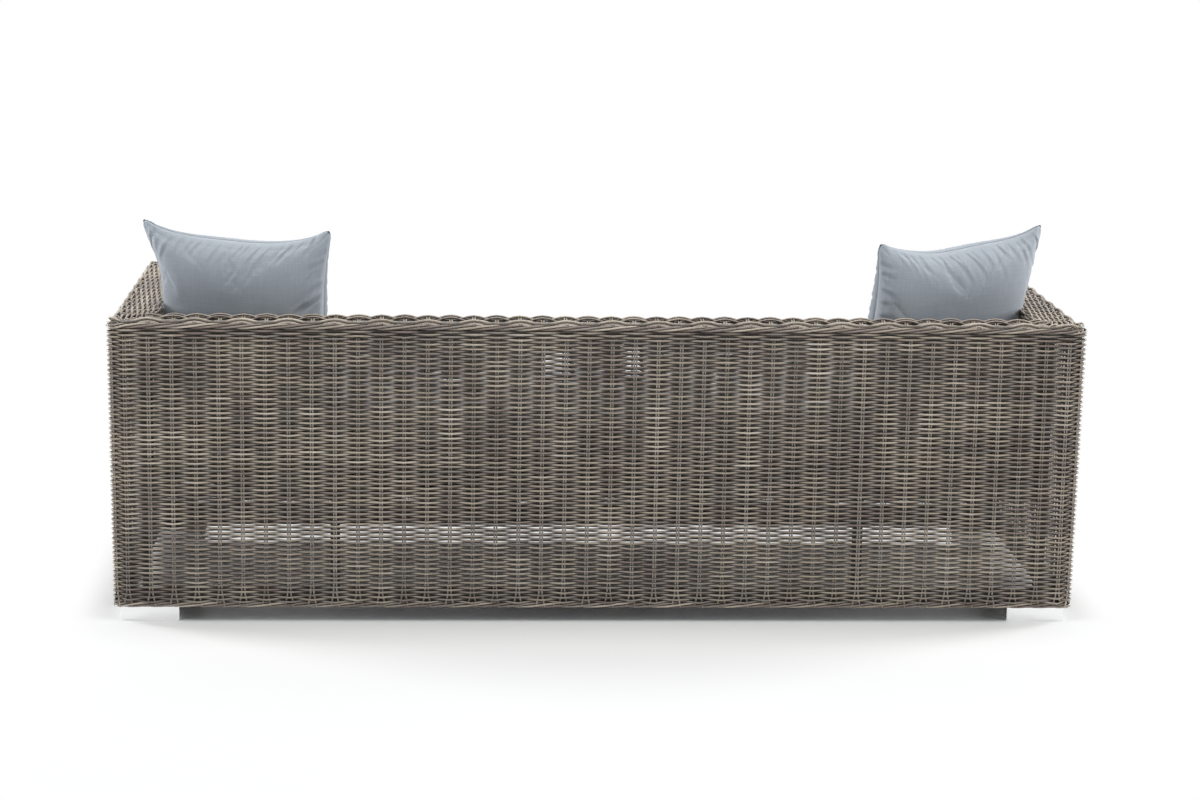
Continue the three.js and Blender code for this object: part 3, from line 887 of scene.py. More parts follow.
def floor_material():
    """A pale floor that passes into the white surround with the distance from the sofa: slowly behind its
    back and fast on the other sides. In front it starts under the seat, but not under the arms, and under the
    seat it is a painted light that lightens most of the seat's shadow."""
    graph, shader = new_material("pale_floor")
    graph.fill(shader, {"Base Color": FLOOR_COLOUR, "Roughness": 0.7})
    place = graph.add("SeparateXYZ", {0: graph.object_place()}).node.outputs
    across = graph.math("ABSOLUTE", place["X"])
    deep = place["Y"]
    under_arms = graph.math("GREATER_THAN", across, arm_face)
    edge = graph.math("MULTIPLY_ADD", under_arms, front_face - FLOOR_FRONT, FLOOR_FRONT)
    ahead = graph.math("MULTIPLY", graph.math("SUBTRACT", front_face, deep), FLOOR_AHEAD_SPEED)
    ahead_or_behind = graph.math("MAXIMUM", ahead, graph.math("SUBTRACT", deep, back_face))
    beside = graph.math("MULTIPLY", graph.math("SUBTRACT", across, half_width), FLOOR_SIDE_SPEED)
    away = graph.add("CombineXYZ", {
        0: graph.math("MAXIMUM", beside, 0),
        1: graph.math("MAXIMUM", ahead_or_behind, 0),
    })
    far = graph.fade(graph.add("VectorMath", {0: away}, "Value", operation="LENGTH"), FLOOR_FADE)
    # Painted light under the seat's front, over the shadow that the seat casts
    near = graph.fade(graph.math("SUBTRACT", edge, deep), FLOOR_FRONT_FADE)
    white = graph.math("MAXIMUM", far, graph.math("MULTIPLY", near, FLOOR_FRONT_SHARE))
    mix = graph.add("MixShader", {
        0: graph.math("MULTIPLY", white, graph.seen_rays()),
        1: shader.outputs[0],
        2: graph.add("Emission", {}),
    })
    graph.fill(graph.nodes["Material Output"], {"Surface": mix})
    return graph.owner


cane = cane_material()
brushed_metal = metal_material("brushed_aluminium", ALUMINIUM_COLOUR, ALUMINIUM_ROUGH, ALUMINIUM_STRETCH)
zinc = metal_material("zinc_bolt", ZINC_COLOUR, ZINC_ROUGH, ZINC_STRETCH)
powder_coat = coated_material()
pillow_fabric = fabric_material("pillow_fabric", PILLOW_COLOURS, PILLOW_THREAD)
seat_fabric = fabric_material("seat_fabric", SEAT_COLOURS, SEAT_THREAD)
piping_fabric = piping_and_seam_shadow_material("piping_fabric", PIPING_COLOURS)
# A dark cord along the pillows' seams is painted shade: it stands for the shadow in the seam
painted_seam_shadow = piping_and_seam_shadow_material("painted_seam_shadow", SEAM_SHADOW_COLOURS)


# Rows of cane

class Row:
    """One turn of a strand round the body: its height, how far it is drawn in from the centre
    surface, and which way it swings (out and up). The drop and the calm are functions of the
    distance, which lower the row and make its swing smaller."""

    def __init__(self, index, height, inset=0.0, out=1.0, up=0.0, dip=0.0, drop=None, tone=None,
                 calm=None):
        self.index = index
        self.height = height
        self.inset = inset
        self.out = out
        self.up = up
        self.dip = dip
        self.drop = drop
        self.tone = tone
        self.calm = calm
        self.sign = 1 if index % 2 else -1


def corner_lift(route, distances):
    """Strands climb a little where they go round an outer corner."""
    lift = np.zeros_like(distances)
    for corner in route.corners[:2]:
        away = (np.abs(distances) - corner) / CORNER_LIFT_REACH
        lift += CORNER_LIFT * np.exp(-away ** 2)
    return lift


def corner_push(route, distances, height):
    """The walls stand out a little at the back corners, and more towards the top."""
    if not route.corners:
        return np.zeros(np.shape(distances))
    away = (np.abs(distances) - route.corners[0]) / CORNER_PUSH_REACH
    return CORNER_PUSH * np.exp(-away ** 2) * height / top


def near_tone(own, tone):
    """A strand's own tone, with some of the changing one."""
    return own + TONE_KEPT_SHARE * (tone - 0.5)


def lay_strand(bundle, weave, row, distances, swing, lift, tone, shade, drop=0.0):
    """A strand along the route. The row's out and up turn its swing and its lift."""
    points, normals = weave.route.at(distances)
    push = corner_push(weave.route, distances, row.height) - row.inset
    centres = np.empty((len(distances), 3))
    centres[:, :2] = points + normals * (row.out * swing + push - row.up * lift)[:, None]
    centres[:, 2] = row.height + row.up * swing + row.out * lift - drop
    outward = np.column_stack([normals * row.out, np.full(len(distances), row.up)])
    bundle.tube(centres, outward, STRAND, tone, shade, distances, reach=swing / SWING)


def add_row(bundle, weave, row, span, drop=None):
    distances = weave.samples(*span)
    swing = weave.swing(distances) * row.sign * SWING
    if row.calm:
        swing *= row.calm(distances)
    tone, shade = wall_tones.at(row.index, distances)
    if row.tone:
        tone = near_tone(row.tone, tone)
    # Painted shade, darker towards the bottom of the walls
    shade = shade * (1 - GROUND_SHADE * smooth_step(1 - row.height / GROUND_REACH))
    drop = drop or row.drop
    lowered = drop(distances) if drop else 0.0
    lift = wall_bows.at(weave, row, distances)
    lay_strand(bundle, weave, row, distances, swing, lift, tone, shade, lowered)


def add_wale(bundle, weave, row, span):
    """A border of three strands, each in front of two stakes and behind the next, and rising."""
    distances = weave.samples(*span)
    fine = np.sort(np.concatenate([distances, (distances[1:] + distances[:-1]) / 2]))
    phase, mirror = weave.phase(fine)
    count = np.where(mirror < 0, -1 - phase, phase)
    for rod in range(WALE_RODS):
        turn = ((-count - rod) / WALE_RODS) % 1.0
        swing = np.interp(turn, WALE_SHARES, WALE_SWING_SHARES) * SWING
        lift = np.interp(turn, WALE_SHARES, WALE_RISE_SHARES) * WALE_RISE
        tone, shade = wale_tones.at(rod, fine)
        lay_strand(bundle, weave, row, fine, swing, lift, near_tone(WALE_TONES[rod], tone), shade)


def add_stake(bundle, points, outward, across, seed, part=0.0):
    """A pair of rods side by side along the points, parted further by part."""
    rng = np.random.default_rng(seed)
    tone = rng.uniform(*STAKE_TONES)
    along = run_along(points)
    facing = np.tile(outward, (len(points), 1))
    for side in (-1, 1):
        off = np.reshape(side * (STAKE_ROD_OFF + part), (-1, 1))
        # Painted light on each rod
        shade = rng.uniform(*STAKE_PAINTED_LIGHT)
        grain = along + side * STAKE_GRAIN_SHIFT
        bundle.tube(points + np.array(across) * off, facing, STAKE_ROD, tone, shade, grain)


def wall_stake(bundle, weave, distance, bottom, height, seed, spread):
    """An upright stake in a wall. Its two rods part near the bottom edge."""
    count = max(int((height - bottom) / (STAKE_STEP / 2)), STAKE_LEAST_POINTS)
    z = np.linspace(bottom, height, count)
    point, normal = weave.route.at(np.array([distance]))
    push = corner_push(weave.route, distance, z)
    points = np.column_stack([point + normal * np.reshape(push, (-1, 1)), z])
    x, y = normal[0]
    part = STAKE_SPREAD * np.clip((bottom + STAKE_SPREAD_FROM - z) / STAKE_SPREAD_FROM, 0, 1)
    add_stake(bundle, points, (x, y, 0), (y, -x, 0), seed, part * spread)


# Walls

def tuck(height):
    """How far the wall curls in under its bottom edge."""
    below = np.clip((weave_bottom + BOTTOM_TUCK - height) / BOTTOM_TUCK, 0, 1)
    return BOTTOM_TUCK * (1 - math.sqrt(1 - below ** 2 * TUCK_CURL_SHARE)) * TUCK_DEPTH_SHARE


def wall_row(i):
    height = first_row + i * ROW_STEP
    return Row(i, height, tuck(height), dip=WAVY_DIP * max(0, 1 - i / WAVY_ROWS))


def weave_at(height):
    return high_weave if height > deck_edge else low_weave


def inner_drop(height):
    """The inner rows lie lower than the outer ones, so they close the view through the weave,
    but at two loose places."""
    low, high = LOOSE_HEIGHTS
    beyond = max(low - height, height - high, 0)
    amount = LOOSE_DROP * smooth_step(1 - beyond / LOOSE_HEIGHT_BLEND)

    def drop(distances):
        points, _ = high_route.at(distances)
        total = np.full(len(distances), INNER_DROP)
        for centre, reach in LOOSE_PLACES:
            inside = (reach + LOOSE_BLEND - np.abs(points[:, 0] - centre)) / LOOSE_BLEND
            total -= amount * smooth_step(inside)
        return total
    return drop


def wall_piece(name, region, bottom, height, seed):
    """The strands and stakes of one skin, between two heights."""
    bundle = Bundle(name)
    for row in rows:
        if bottom <= row.height < height:
            weave = weave_at(row.height)
            drop = inner_drop(row.height) if region == "inner_back" else None
            add_row(bundle, weave, row, weave.spans[region], drop)
    weave = weave_at(height)
    start, end = weave.spans[region]
    near = weave.everywhere(weave.stakes)
    spread = bottom < weave_bottom + ROW_STEP
    for i, distance in enumerate(sorted(near[(near > start) & (near < end)])):
        wall_stake(bundle, weave, distance, max(bottom, weave_bottom + STAKE_CLEAR), height, seed + i, spread)
    if bottom <= weave_bottom:
        border = Row(0, bottom_wale, tuck(bottom_wale))
        add_wale(bundle, low_weave, border, low_weave.spans[region])
    return bundle


rows = [wall_row(i) for i in range(row_count + UNSEEN_ROWS)]
# Each piece's name, region, lowest and highest rows, and seed
walls = [
    ("back_outer_cane_low", "back", weave_bottom, BACK_SPLIT, 100),
    ("back_outer_cane_high", "back", BACK_SPLIT, skin_top, 100),
    ("left_arm_outer_cane", "left_side", weave_bottom, skin_top, 300),
    ("right_arm_outer_cane", "right_side", weave_bottom, skin_top, 400),
    ("left_arm_front_cane", "left_front", weave_bottom, skin_top, 500),
    ("right_arm_front_cane", "right_front", weave_bottom, skin_top, 550),
    ("left_arm_inner_cane", "left_inner", deck_edge, inner_high.z, 600),
    ("right_arm_inner_cane", "right_inner", deck_edge, inner_high.z, 650),
    ("back_inner_cane", "inner_back", deck_edge, inner_high.z, 700),
    ("front_apron_cane", "apron", weave_bottom, deck_edge, 800),
]
for name, *wall in walls:
    node = name.split("_cane")[0] + "_weave"
    wall_piece(name, *wall).build(cane, "frame", "cane", [node])


# Woven tops: rows beside each other from the outer edge to the inner edge

def trough(inset):
    """How much of the sag a row has: the rims along both edges stand above the middle."""
    width = out_x - in_x
    outer, inner = RIM_WIDTHS
    down = min(max((inset - outer) / (2 * outer), 0), 1)
    rise = min(max((width - inset - inner) / inner, 0), 1)
    return min(down, rise)


def top_drop(inset, corner):
    """The sag of a row along its way: deep along the back, and shallow on the arms."""
    def drop(distances):
        share = smooth_step((corner + RIM_BLEND / 3 - np.abs(distances)) / RIM_BLEND)
        return trough(inset) * (RIM_SAG["arm"] + (RIM_SAG["back"] - RIM_SAG["arm"]) * share)
    return drop


def top_weave(inset):
    """A row's route over the top, with the stakes that it crosses: fewer on the inside of the
    corner."""
    x, y = out_x - inset, out_y - inset
    route = Route([(0, y), (x, y), (x, front_y + TOP_FRONT_CLEAR)], TOP_RADIUS)
    stakes = list(route.corners)
    stakes += [route.on_leg(0, place) for place in back_stakes if place < x - TOP_STAKE_MARGIN]
    stakes += [route.on_leg(1, place - inset) for place in side_stakes if place > inset + TOP_STAKE_MARGIN]
    return Weave(route, stakes, closed=False)


def past_corner(distances):
    return smooth_step((np.abs(distances) - high_route.corners[0]) / EDGE_BLEND)


def edge_drop(distances):
    return ARM_EDGE_DROP * past_corner(distances)


def edge_calm(distances):
    return 1 - ARM_EDGE_CALM * past_corner(distances)


def top_edge(bundle, region):
    """The rows above a skin, the wale along the outer edge, and the plain row that turns over it
    on to the top. That row waves less on the arms."""
    span = high_weave.spans[region]
    for row in rows:
        if skin_top <= row.height < wale_height - TOP_WALE_CLEAR + MM:
            add_row(bundle, high_weave, row, span)
    border = Row(0, wale_height, TOP_WALE_INSET, TOP_WALE_OUT, TOP_WALE_UP)
    add_wale(bundle, high_weave, border, span)
    edge = Row(row_count + EDGE_INDEX, top_middle + EDGE_RISE, out=EDGE_OUT, up=EDGE_UP, drop=edge_drop,
               tone=EDGE_TONE, calm=edge_calm)
    add_row(bundle, high_weave, edge, span)


def top_surface(bundle, region):
    """The rows side by side, and those that hang down inside from the last one."""
    step = (out_x - in_x - TOP_FIRST) / (TOP_ROWS - 1)
    for i in range(TOP_ROWS):
        inset = TOP_FIRST + i * step
        weave = top_weave(inset)
        index = row_count + TOP_FIRST_INDEX + i
        drop = top_drop(inset, weave.route.corners[0])
        row = Row(index, top_middle + TOP_PROUD, up=1.0, out=0.0, drop=drop)
        if i == TOP_ROWS - 1:
            row = Row(index, top_middle + TOP_PROUD / 2, out=TOP_LAST_OUT, up=TOP_LAST_UP)
        cut = weave.route.on_leg(1, out_y - inset - inner_face)
        end = weave.route.length
        span = {"back": (-cut, cut), "left_side": (cut, end), "right_side": (-end, -cut)}[region]
        add_row(bundle, weave, row, span)
    for i in range(UNDER_ROWS):
        under = Row(index + i % 2, top_middle + TOP_PROUD - (i + 0.5) * 2 * STRAND, out=UNDER_OUT)
        add_row(bundle, weave, under, span)


def across_stake(bundle, start, end, seed, sag):
    """A stake that lies across a top, from the outer edge to the inner edge, given in plan."""
    start, end = np.array((*start, top_middle)), np.array((*end, top_middle))
    share = np.linspace(0, 1, ACROSS_POINTS)[:, None]
    points = start[None, :] * (1 - share) + end[None, :] * share
    insets = np.minimum(out_x - np.abs(points[:, 0]), out_y - points[:, 1])
    points[:, 2] += TOP_PROUD - np.array([trough(inset) * sag for inset in insets])
    add_stake(bundle, points, (0, 0, 1), np.cross(unit(end - start), (0, 0, 1)), seed)


def back_top():
    bundle = Bundle("back_top_cane")
    top_edge(bundle, "back")
    top_surface(bundle, "back")
    sag = RIM_SAG["back"]
    for side in (-1, 1):
        for i, x in enumerate(back_stakes):
            reach = max(in_y, out_y - (out_x - x) + ACROSS_PAST)
            across_stake(bundle, (side * x, out_y), (side * x, reach), BACK_ACROSS_SEED + i, sag)
        across_stake(bundle, (side * out_x, out_y), (side * in_x, in_y), CORNER_ACROSS_SEED, sag)
        for i, offset in enumerate(side_stakes[:CORNER_SIDE_STAKES]):
            y = out_y - offset
            reach = out_x - offset + ACROSS_PAST
            across_stake(bundle, (side * out_x, y), (side * reach, y), SIDE_ACROSS_SEED + i, sag)
    return bundle


def arm_top(side, name):
    bundle = Bundle(f"{name}_arm_top_cane")
    top_edge(bundle, f"{name}_side")
    top_edge(bundle, f"{name}_front")
    top_surface(bundle, f"{name}_side")
    for i, offset in enumerate(side_stakes):
        y = out_y - offset
        if y < inner_face:
            across_stake(bundle, (side * out_x, y), (side * in_x, y), ARM_ACROSS_SEED + i, RIM_SAG["arm"])
    return bundle


back_top().build(cane, "frame", "cane", ["back_top_weave"])
for side, name in ((1, "left"), (-1, "right")):
    arm_top(side, name).build(cane, "frame", "cane", [f"{name}_arm_top_weave"])


def seat_deck():
    """Rows along the seat, over stakes that run from the front to the back."""
    bundle = Bundle("seat_deck_cane")
    reach = deck_high.x - STRAND
    count = int((deck_high.y - deck_low.y - 2 * STRAND) / DECK_STEP) + 1
    stakes = [x for x in back_stakes if x < reach]
    for i in range(count):
        y = deck_low.y + STRAND + i * DECK_STEP
        weave = Weave(Route([(0, y), (reach, y)], CORNER_RADIUS), stakes, closed=False)
        add_row(bundle, weave, Row(i, deck_middle, up=DECK_UP, out=0.0), (-reach, reach))
    for side in (-1, 1):
        for i, x in enumerate(stakes):
            front, back = ((side * x, y, deck_middle) for y in (deck_low.y, deck_high.y))
            points = np.linspace(front, back, DECK_STAKE_POINTS)
            add_stake(bundle, points, (0, 0, 1), (1, 0, 0), DECK_SEED + i)
    return bundle


seat_deck().build(cane, "frame", "cane", ["seat_deck_weave"])


# Soft pieces. Each starts as a grid of points on the faces of its form, given by a formula in
# shares from -1 to 1, and cloth simulation then adds the slack, the puckers and the creases.

class Grid:
    """Points given in shares, and the faces between them."""

    def mesh(self, name, points):
        mesh = bpy.data.meshes.new(name)
        quads = [tuple(map(int, quad)) for quad in self.quads]
        mesh.from_pydata([tuple(point) for point in points], [], quads)
        mesh.shade_smooth()
        return mesh


class BoxGrid(Grid):
    """Points on the surface of a box, evenly spaced."""

    def __init__(self, cells):
        self.lines = [np.linspace(-1, 1, count + 1) for count in cells]
        self.index = {}
        self.quads = []
        points = []
        for axis in range(3):
            for end in (0, cells[axis]):
                self.side(cells, axis, end, points)
        self.shares = np.array(points, float)

    def point(self, place, points):
        if place not in self.index:
            self.index[place] = len(points)
            points.append([self.lines[k][place[k]] for k in range(3)])
        return self.index[place]

    def side(self, cells, axis, end, points):
        first, second = [k for k in range(3) if k != axis]
        for i in range(cells[first]):
            for j in range(cells[second]):
                quad = []
                for step in ((0, 0), (1, 0), (1, 1), (0, 1)):
                    place = [end] * 3
                    place[first] = i + step[0]
                    place[second] = j + step[1]
                    quad.append(self.point(tuple(place), points))
                outward = (end > 0) == (axis != 1)
                self.quads.append(quad if outward else quad[::-1])


class SewnGrid(Grid):
    """Two square faces that share the points of their edge."""

    def __init__(self, lines):
        self.lines = lines
        count = len(lines)
        self.faces = {}
        self.quads = []
        points = []
        for side in (-1, 1):
            table = np.empty((count, count), int)
            for i in range(count):
                for j in range(count):
                    edge = i in (0, count - 1) or j in (0, count - 1)
                    if edge and side == 1:
                        table[i, j] = self.faces[-1][i, j]
                        continue
                    table[i, j] = len(points)
                    points.append((lines[i], 0 if edge else side, lines[j]))
            self.faces[side] = table
            for i in range(count - 1):
                for j in range(count - 1):
                    quad = [table[i, j], table[i + 1, j], table[i + 1, j + 1], table[i, j + 1]]
                    self.quads.append(quad if side < 0 else quad[::-1])
        self.shares = np.array(points, float)

    def edge(self):
        """The points of the seam, in order."""
        table = self.faces[-1]
        return np.concatenate([table[:-1, 0], table[-1, :-1], table[:0:-1, -1], table[0, :0:-1]])


def simulate(mesh, flat, pressure, frames, growth, stiffness, bending):
    """Blows up a closed cloth that was cut to the flat points, and gives back where it comes to
    rest."""
    cloth_piece = new_object("cloth_run", mesh.copy())
    cloth = cloth_piece.modifiers.new("cloth", "CLOTH")
    settings = cloth.settings
    if flat is not None:
        cloth_piece.shape_key_add(name="worn")
        key = cloth_piece.shape_key_add(name="flat")
        key.data.foreach_set("co", np.ascontiguousarray(flat, dtype=np.float32).ravel())
        key.value = 0.0
        settings.rest_shape_key = key
    for name, value in CLOTH.items():
        setattr(settings, name, value)
    settings.tension_stiffness = stiffness
    settings.compression_stiffness = stiffness
    settings.shear_stiffness = stiffness * SHEAR_SHARE
    settings.bending_stiffness = bending
    settings.shrink_min = -growth
    settings.uniform_pressure_force = pressure
    settings.effector_weights.gravity = 0
    cloth.collision_settings.use_self_collision = False
    cloth.collision_settings.use_collision = False
    cloth.point_cache.frame_start = 1
    cloth.point_cache.frame_end = frames
    for step in range(1, frames + 1):
        bpy.context.scene.frame_set(step)
    graph = bpy.context.evaluated_depsgraph_get()
    result = np.empty(len(mesh.vertices) * 3, np.float32)
    cloth_piece.evaluated_get(graph).data.vertices.foreach_get("co", result)
    bpy.context.scene.frame_set(1)
    bpy.data.objects.remove(cloth_piece)
    return result.reshape(-1, 3).astype(float)


def smoothed(values, mesh, rounds):
    """Values at the points, averaged again and again with those beside them."""
    pairs = np.empty(len(mesh.edges) * 2, np.int32)
    mesh.edges.foreach_get("vertices", pairs)
    first, second = pairs.reshape(-1, 2).T
    count = np.bincount(pairs, minlength=len(values))[:, None]
    for _ in range(rounds):
        total = np.zeros_like(values)
        np.add.at(total, first, values[second])
        np.add.at(total, second, values[first])
        values = 0.5 * values + 0.5 * total / count
    return values


def capped(moves, most):
    length = np.linalg.norm(moves, axis=1, keepdims=True)
    return moves * np.tanh(length / most) / np.maximum(length / most, 1e-9)


def settle(mesh, points, simulated, broad_share, broad_cap, fine_cap, rounds):
    """The formula's form, with some of the cloth's broad slack and all of its puckers."""
    moves = simulated - points
    broad = smoothed(moves, mesh, rounds)
    fine = moves - broad
    return points + capped(broad * broad_share, broad_cap) + capped(fine, fine_cap)


def fold_lines(along, down, seed, step, lengths, width, slope, depth):
    """How deep the soft creases are that start at a seam, by the place along it and the distance
    down from it. Each is a hollow with a low ridge beside it."""
    rng = np.random.default_rng(seed)
    total = np.zeros_like(along)
    reach = np.abs(along).max() * CREASE_REACH_SHARE
    for place in np.arange(-reach, reach, step):
        start = place + rng.uniform(-CREASE_SHIFT_SHARE, CREASE_SHIFT_SHARE) * step
        length = rng.uniform(*lengths)
        lean = slope * rng.uniform(*CREASE_SLOPE_SHARES)
        strength = depth * rng.uniform(*CREASE_DEPTH_SHARES)
        off = (along - start - lean * down) / (width * (CREASE_WIDTH_SHARE + down / length))
        fade = smooth_step(CREASE_START_SPEED * down / length)
        fade = fade * smooth_step(CREASE_END_SPEED * (length - down) / length)
        total += strength * fade * (np.exp(-off ** 2) - RIDGE_SHARE * np.exp(-(off - RIDGE_OFF) ** 2))
    return total


# Cords: the cushions' piping, and the dark cords that paint the shadow along the pillows' seams
def piping_and_seam_shadow_cord(name, centres, outward, radius, material, body, slot):
    bundle = Bundle(name)
    for line, facing in zip(centres, outward):
        bundle.cord(line, facing, radius)
    bundle.build(material, body, slot, [])


# Corner pillows

def pillow_creases(shares, seed):
    out, through, up = shares.T
    half = PILLOW / 2
    depth = np.zeros_like(out)
    for side in (-1, 1):
        face = through == side
        across, high = out[face] * half, up[face] * half
        seams = (
            (across, half - high, TOP_CREASES),
            (across, half + high, TOP_CREASES),
            (high, half - across, OUTER_CREASES),
            (high, half + across, INNER_CREASES),
        )
        for i, (along, down, kind) in enumerate(seams):
            depth[face] += fold_lines(along, down, seed + 2 * side + i * CREASE_SEED_STEP, *kind)
    return depth


def seam_distance(shares):
    """How far a point of the flat cloth is from the seam."""
    return PILLOW / 2 * (1 - np.maximum(np.abs(shares[:, 0]), np.abs(shares[:, 2])))


def rounded_corners(shares):
    """Shares across and up, with the corners of the square cloth turned into arcs."""
    half = PILLOW / 2
    beyond = np.maximum(EAR_ROUND - half * (1 - np.abs(shares[:, (0, 2)])), 0)
    length = np.linalg.norm(beyond, axis=1)
    drawn = beyond * (1 - beyond.max(axis=1) / np.maximum(length, 1e-9))[:, None]
    return np.sign(shares[:, (0, 2)]) * (np.abs(shares[:, (0, 2)]) - drawn / half)


def pillow_shape(shares, side):
    half = PILLOW / 2
    through = shares[:, 1]
    groove = PILLOW_GROOVE * (through == 0)
    drawn = groove * (np.abs(shares[:, 0]) == 1)
    lowered = groove * (shares[:, 2] == 1)
    out, up = rounded_corners(shares).T
    inward = np.maximum(-out, 0) ** 2
    height = (up + 1) / 2
    squeeze = PILLOW_SQUEEZES[side] * passed(height, *PILLOW_SQUEEZE_SHARES[side])
    splay = PILLOW_SPLAYS[side] * (height - SPLAY_SHARE) * inward
    side_pull = PILLOW_SIDE_DRAWN_IN * (1 - np.abs(up) ** EAR_POWER) * np.abs(out) ** SIDE_PULL_POWER
    top_pull = PILLOW_TOP_DRAWN_IN * (1 - np.abs(out) ** EAR_POWER) * np.maximum(up, 0) ** TOP_PULL_POWER
    x = out * half - np.sign(out) * (side_pull + drawn) - squeeze * np.maximum(out, 0) ** 2 - splay
    centre, spread = PILLOW_DIP_SHARES
    droop = PILLOW_DROOPS[side] * inward
    droop += PILLOW_DIPS[side] * np.exp(-((out - centre) / spread) ** 2)
    rise = EAR_RISE * np.abs(out * np.maximum(up, 0)) ** EAR_RISE_POWER
    z = height * PILLOW - top_pull - droop * height ** 2 + rise - lowered
    full = (1 - np.abs(shares[:, 0]) ** PILLOW_POWER) * (1 - np.abs(shares[:, 2]) ** PILLOW_POWER)
    full = np.maximum(full, 0) ** PILLOW_FULLNESS
    thick = PILLOW_THICK / 2 * (1 - PILLOW_SAG_SHARE * up) * full
    lip = seam_distance(shares) < PILLOW_LIP_REACH
    thick = np.where(lip, np.minimum(thick, PILLOW_LIP), thick)
    return np.stack([x, through * thick, z], axis=1)


def pillow_grid(cells):
    """Lines across a face, evenly spaced, with closer ones beside the seam."""
    even = np.linspace(-1, 1, cells + 1)
    near = [1 - 2 * line / PILLOW for line in PILLOW_SEAM_LINES]
    return SewnGrid(np.unique(np.concatenate([even, near, [-line for line in near]])))


def flat_cloth(shares):
    """Where each point lies on the cloth as it was cut, with both faces on one plane."""
    return shares * np.array((PILLOW / 2, 0, PILLOW / 2)) * PILLOW_CUT


def stand_pillow(points, side):
    """Leans the pillow back and turns it towards its corner."""
    sign = 1 if side == "left" else -1
    lean = Matrix.Rotation(-PILLOW_LEAN, 3, "X")
    turn = Matrix.Rotation(-sign * PILLOW_TURNS[side], 3, "Z")
    return points * np.array((sign, 1, 1)) @ np.array(turn @ lean).T


def pillow_slack(side, fine):
    """How far the cloth moves from the formula's form, by simulation on a coarser grid, and then
    spread over the finer one."""
    coarse = pillow_grid(PILLOW_CELLS)
    shape = pillow_shape(coarse.shares, side)
    mesh = coarse.mesh(f"{side}_pillow_start", shape)
    run = simulate(mesh, flat_cloth(coarse.shares), **PILLOW_RUN)
    free = passed(seam_distance(coarse.shares), *PILLOW_STILL)[:, None]
    moves = free * (settle(mesh, shape, run, **PILLOW_KEPT) - shape)
    result = np.zeros((len(fine.shares), 3))
    for face, table in coarse.faces.items():
        for k in range(3):
            lines = np.array([np.interp(fine.lines, coarse.lines, line) for line in moves[table, k]])
            both = np.array([np.interp(fine.lines, coarse.lines, line) for line in lines.T]).T
            result[fine.faces[face], k] = both
    return result


def make_pillow(side, grid):
    node = f"corner_pillow_{side}"
    body = f"{side}_pillow"
    shares = grid.shares
    shape = pillow_shape(shares, side)
    mesh = grid.mesh(f"{body}_cover", shape)
    points = shape
    points = shape + pillow_slack(side, grid)
    depth = shares[:, 1] * pillow_creases(shares, PILLOW_SEEDS[side])
    points = points - np.array((0, 1, 0)) * depth[:, None]
    low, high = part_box(node)
    stood = stand_pillow(shape, side)
    least, most = stood.min(axis=0), stood.max(axis=0)
    move = (np.array(low) + np.array(high)) / 2 - (least + most) / 2
    gap = PILLOW_ARM_GAPS[side]
    move[0] = high.x - gap - most[0] if side == "left" else low.x + gap - least[0]
    move[2] = low.z - least[2]
    placed = stand_pillow(points, side) + move
    placed[:, 2] = np.maximum(placed[:, 2], low.z + PILLOW_CLEAR)
    mesh.vertices.foreach_set("co", placed.astype(np.float32).ravel())
    if side == "right":
        mesh.flip_normals()
    add_attribute(mesh, "cloth", flat_cloth(shares) + np.array((0, FACES_APART, 0)) * shares)
    mesh.update()
    cover = add_piece(f"{body}_cover", mesh, pillow_fabric, body, [node])
    # A dark cord just outside the seam paints the seam's shadow
    ring = grid.edge()
    seam = placed[np.append(ring, ring[0])]
    outward = unit(seam - seam.mean(axis=0))
    seam = seam + outward * PILLOW_SEAM_OUT
    piping_and_seam_shadow_cord(f"{body}_seam", [seam], [outward], PILLOW_SEAM, painted_seam_shadow, body, "pillow_fabric")


# Seat cushions

def cushion_shape(shares, width, depth):
    across, deep, up = shares.T
    bulge = CUSHION_BULGE * (1 - up ** 2)
    drawn_x = CUSHION_DRAWN_IN * (1 - deep ** 2) - bulge
    drawn_y = CUSHION_DRAWN_IN * (1 - across ** 2) - bulge
    corner = CUSHION_CORNER * (across * deep) ** CROWN_POWER
    half_x = width / 2 - CUSHION_BULGE - drawn_x - corner
    half_y = depth / 2 - CUSHION_BULGE - drawn_y - corner
    crown = CUSHION_CROWN * (1 - across ** CROWN_POWER) * (1 - deep ** CROWN_POWER)
    return np.stack([across * half_x, deep * half_y, (up + 1) / 2 * (CUSHION_EDGE + crown)], axis=1)


def cushion_creases(shares, width, depth):
    """Pulls in the top of a cushion that start at its four seams."""
    face = shares[:, 2] == 1
    across, deep = shares[face, 0] * width / 2, shares[face, 1] * depth / 2
    seams = (
        (across, depth / 2 - deep),
        (across, depth / 2 + deep),
        (deep, width / 2 - across),
        (deep, width / 2 + across),
    )
    total = np.zeros(len(shares))
    for i, (along, down) in enumerate(seams):
        total[face] += fold_lines(along, down, CUSHION_SEED + i, *CUSHION_CREASES)
    return total


def seam_ring(shares, level):
    """The points of a cushion's upper or lower edge, in order round it and closed."""
    across, deep, up = shares.T
    edge = (up == level) & (np.maximum(np.abs(across), np.abs(deep)) > EDGE_SHARE)
    found = np.nonzero(edge)[0]
    ring = found[np.argsort(np.arctan2(deep[found], across[found]))]
    return np.append(ring, ring[0])


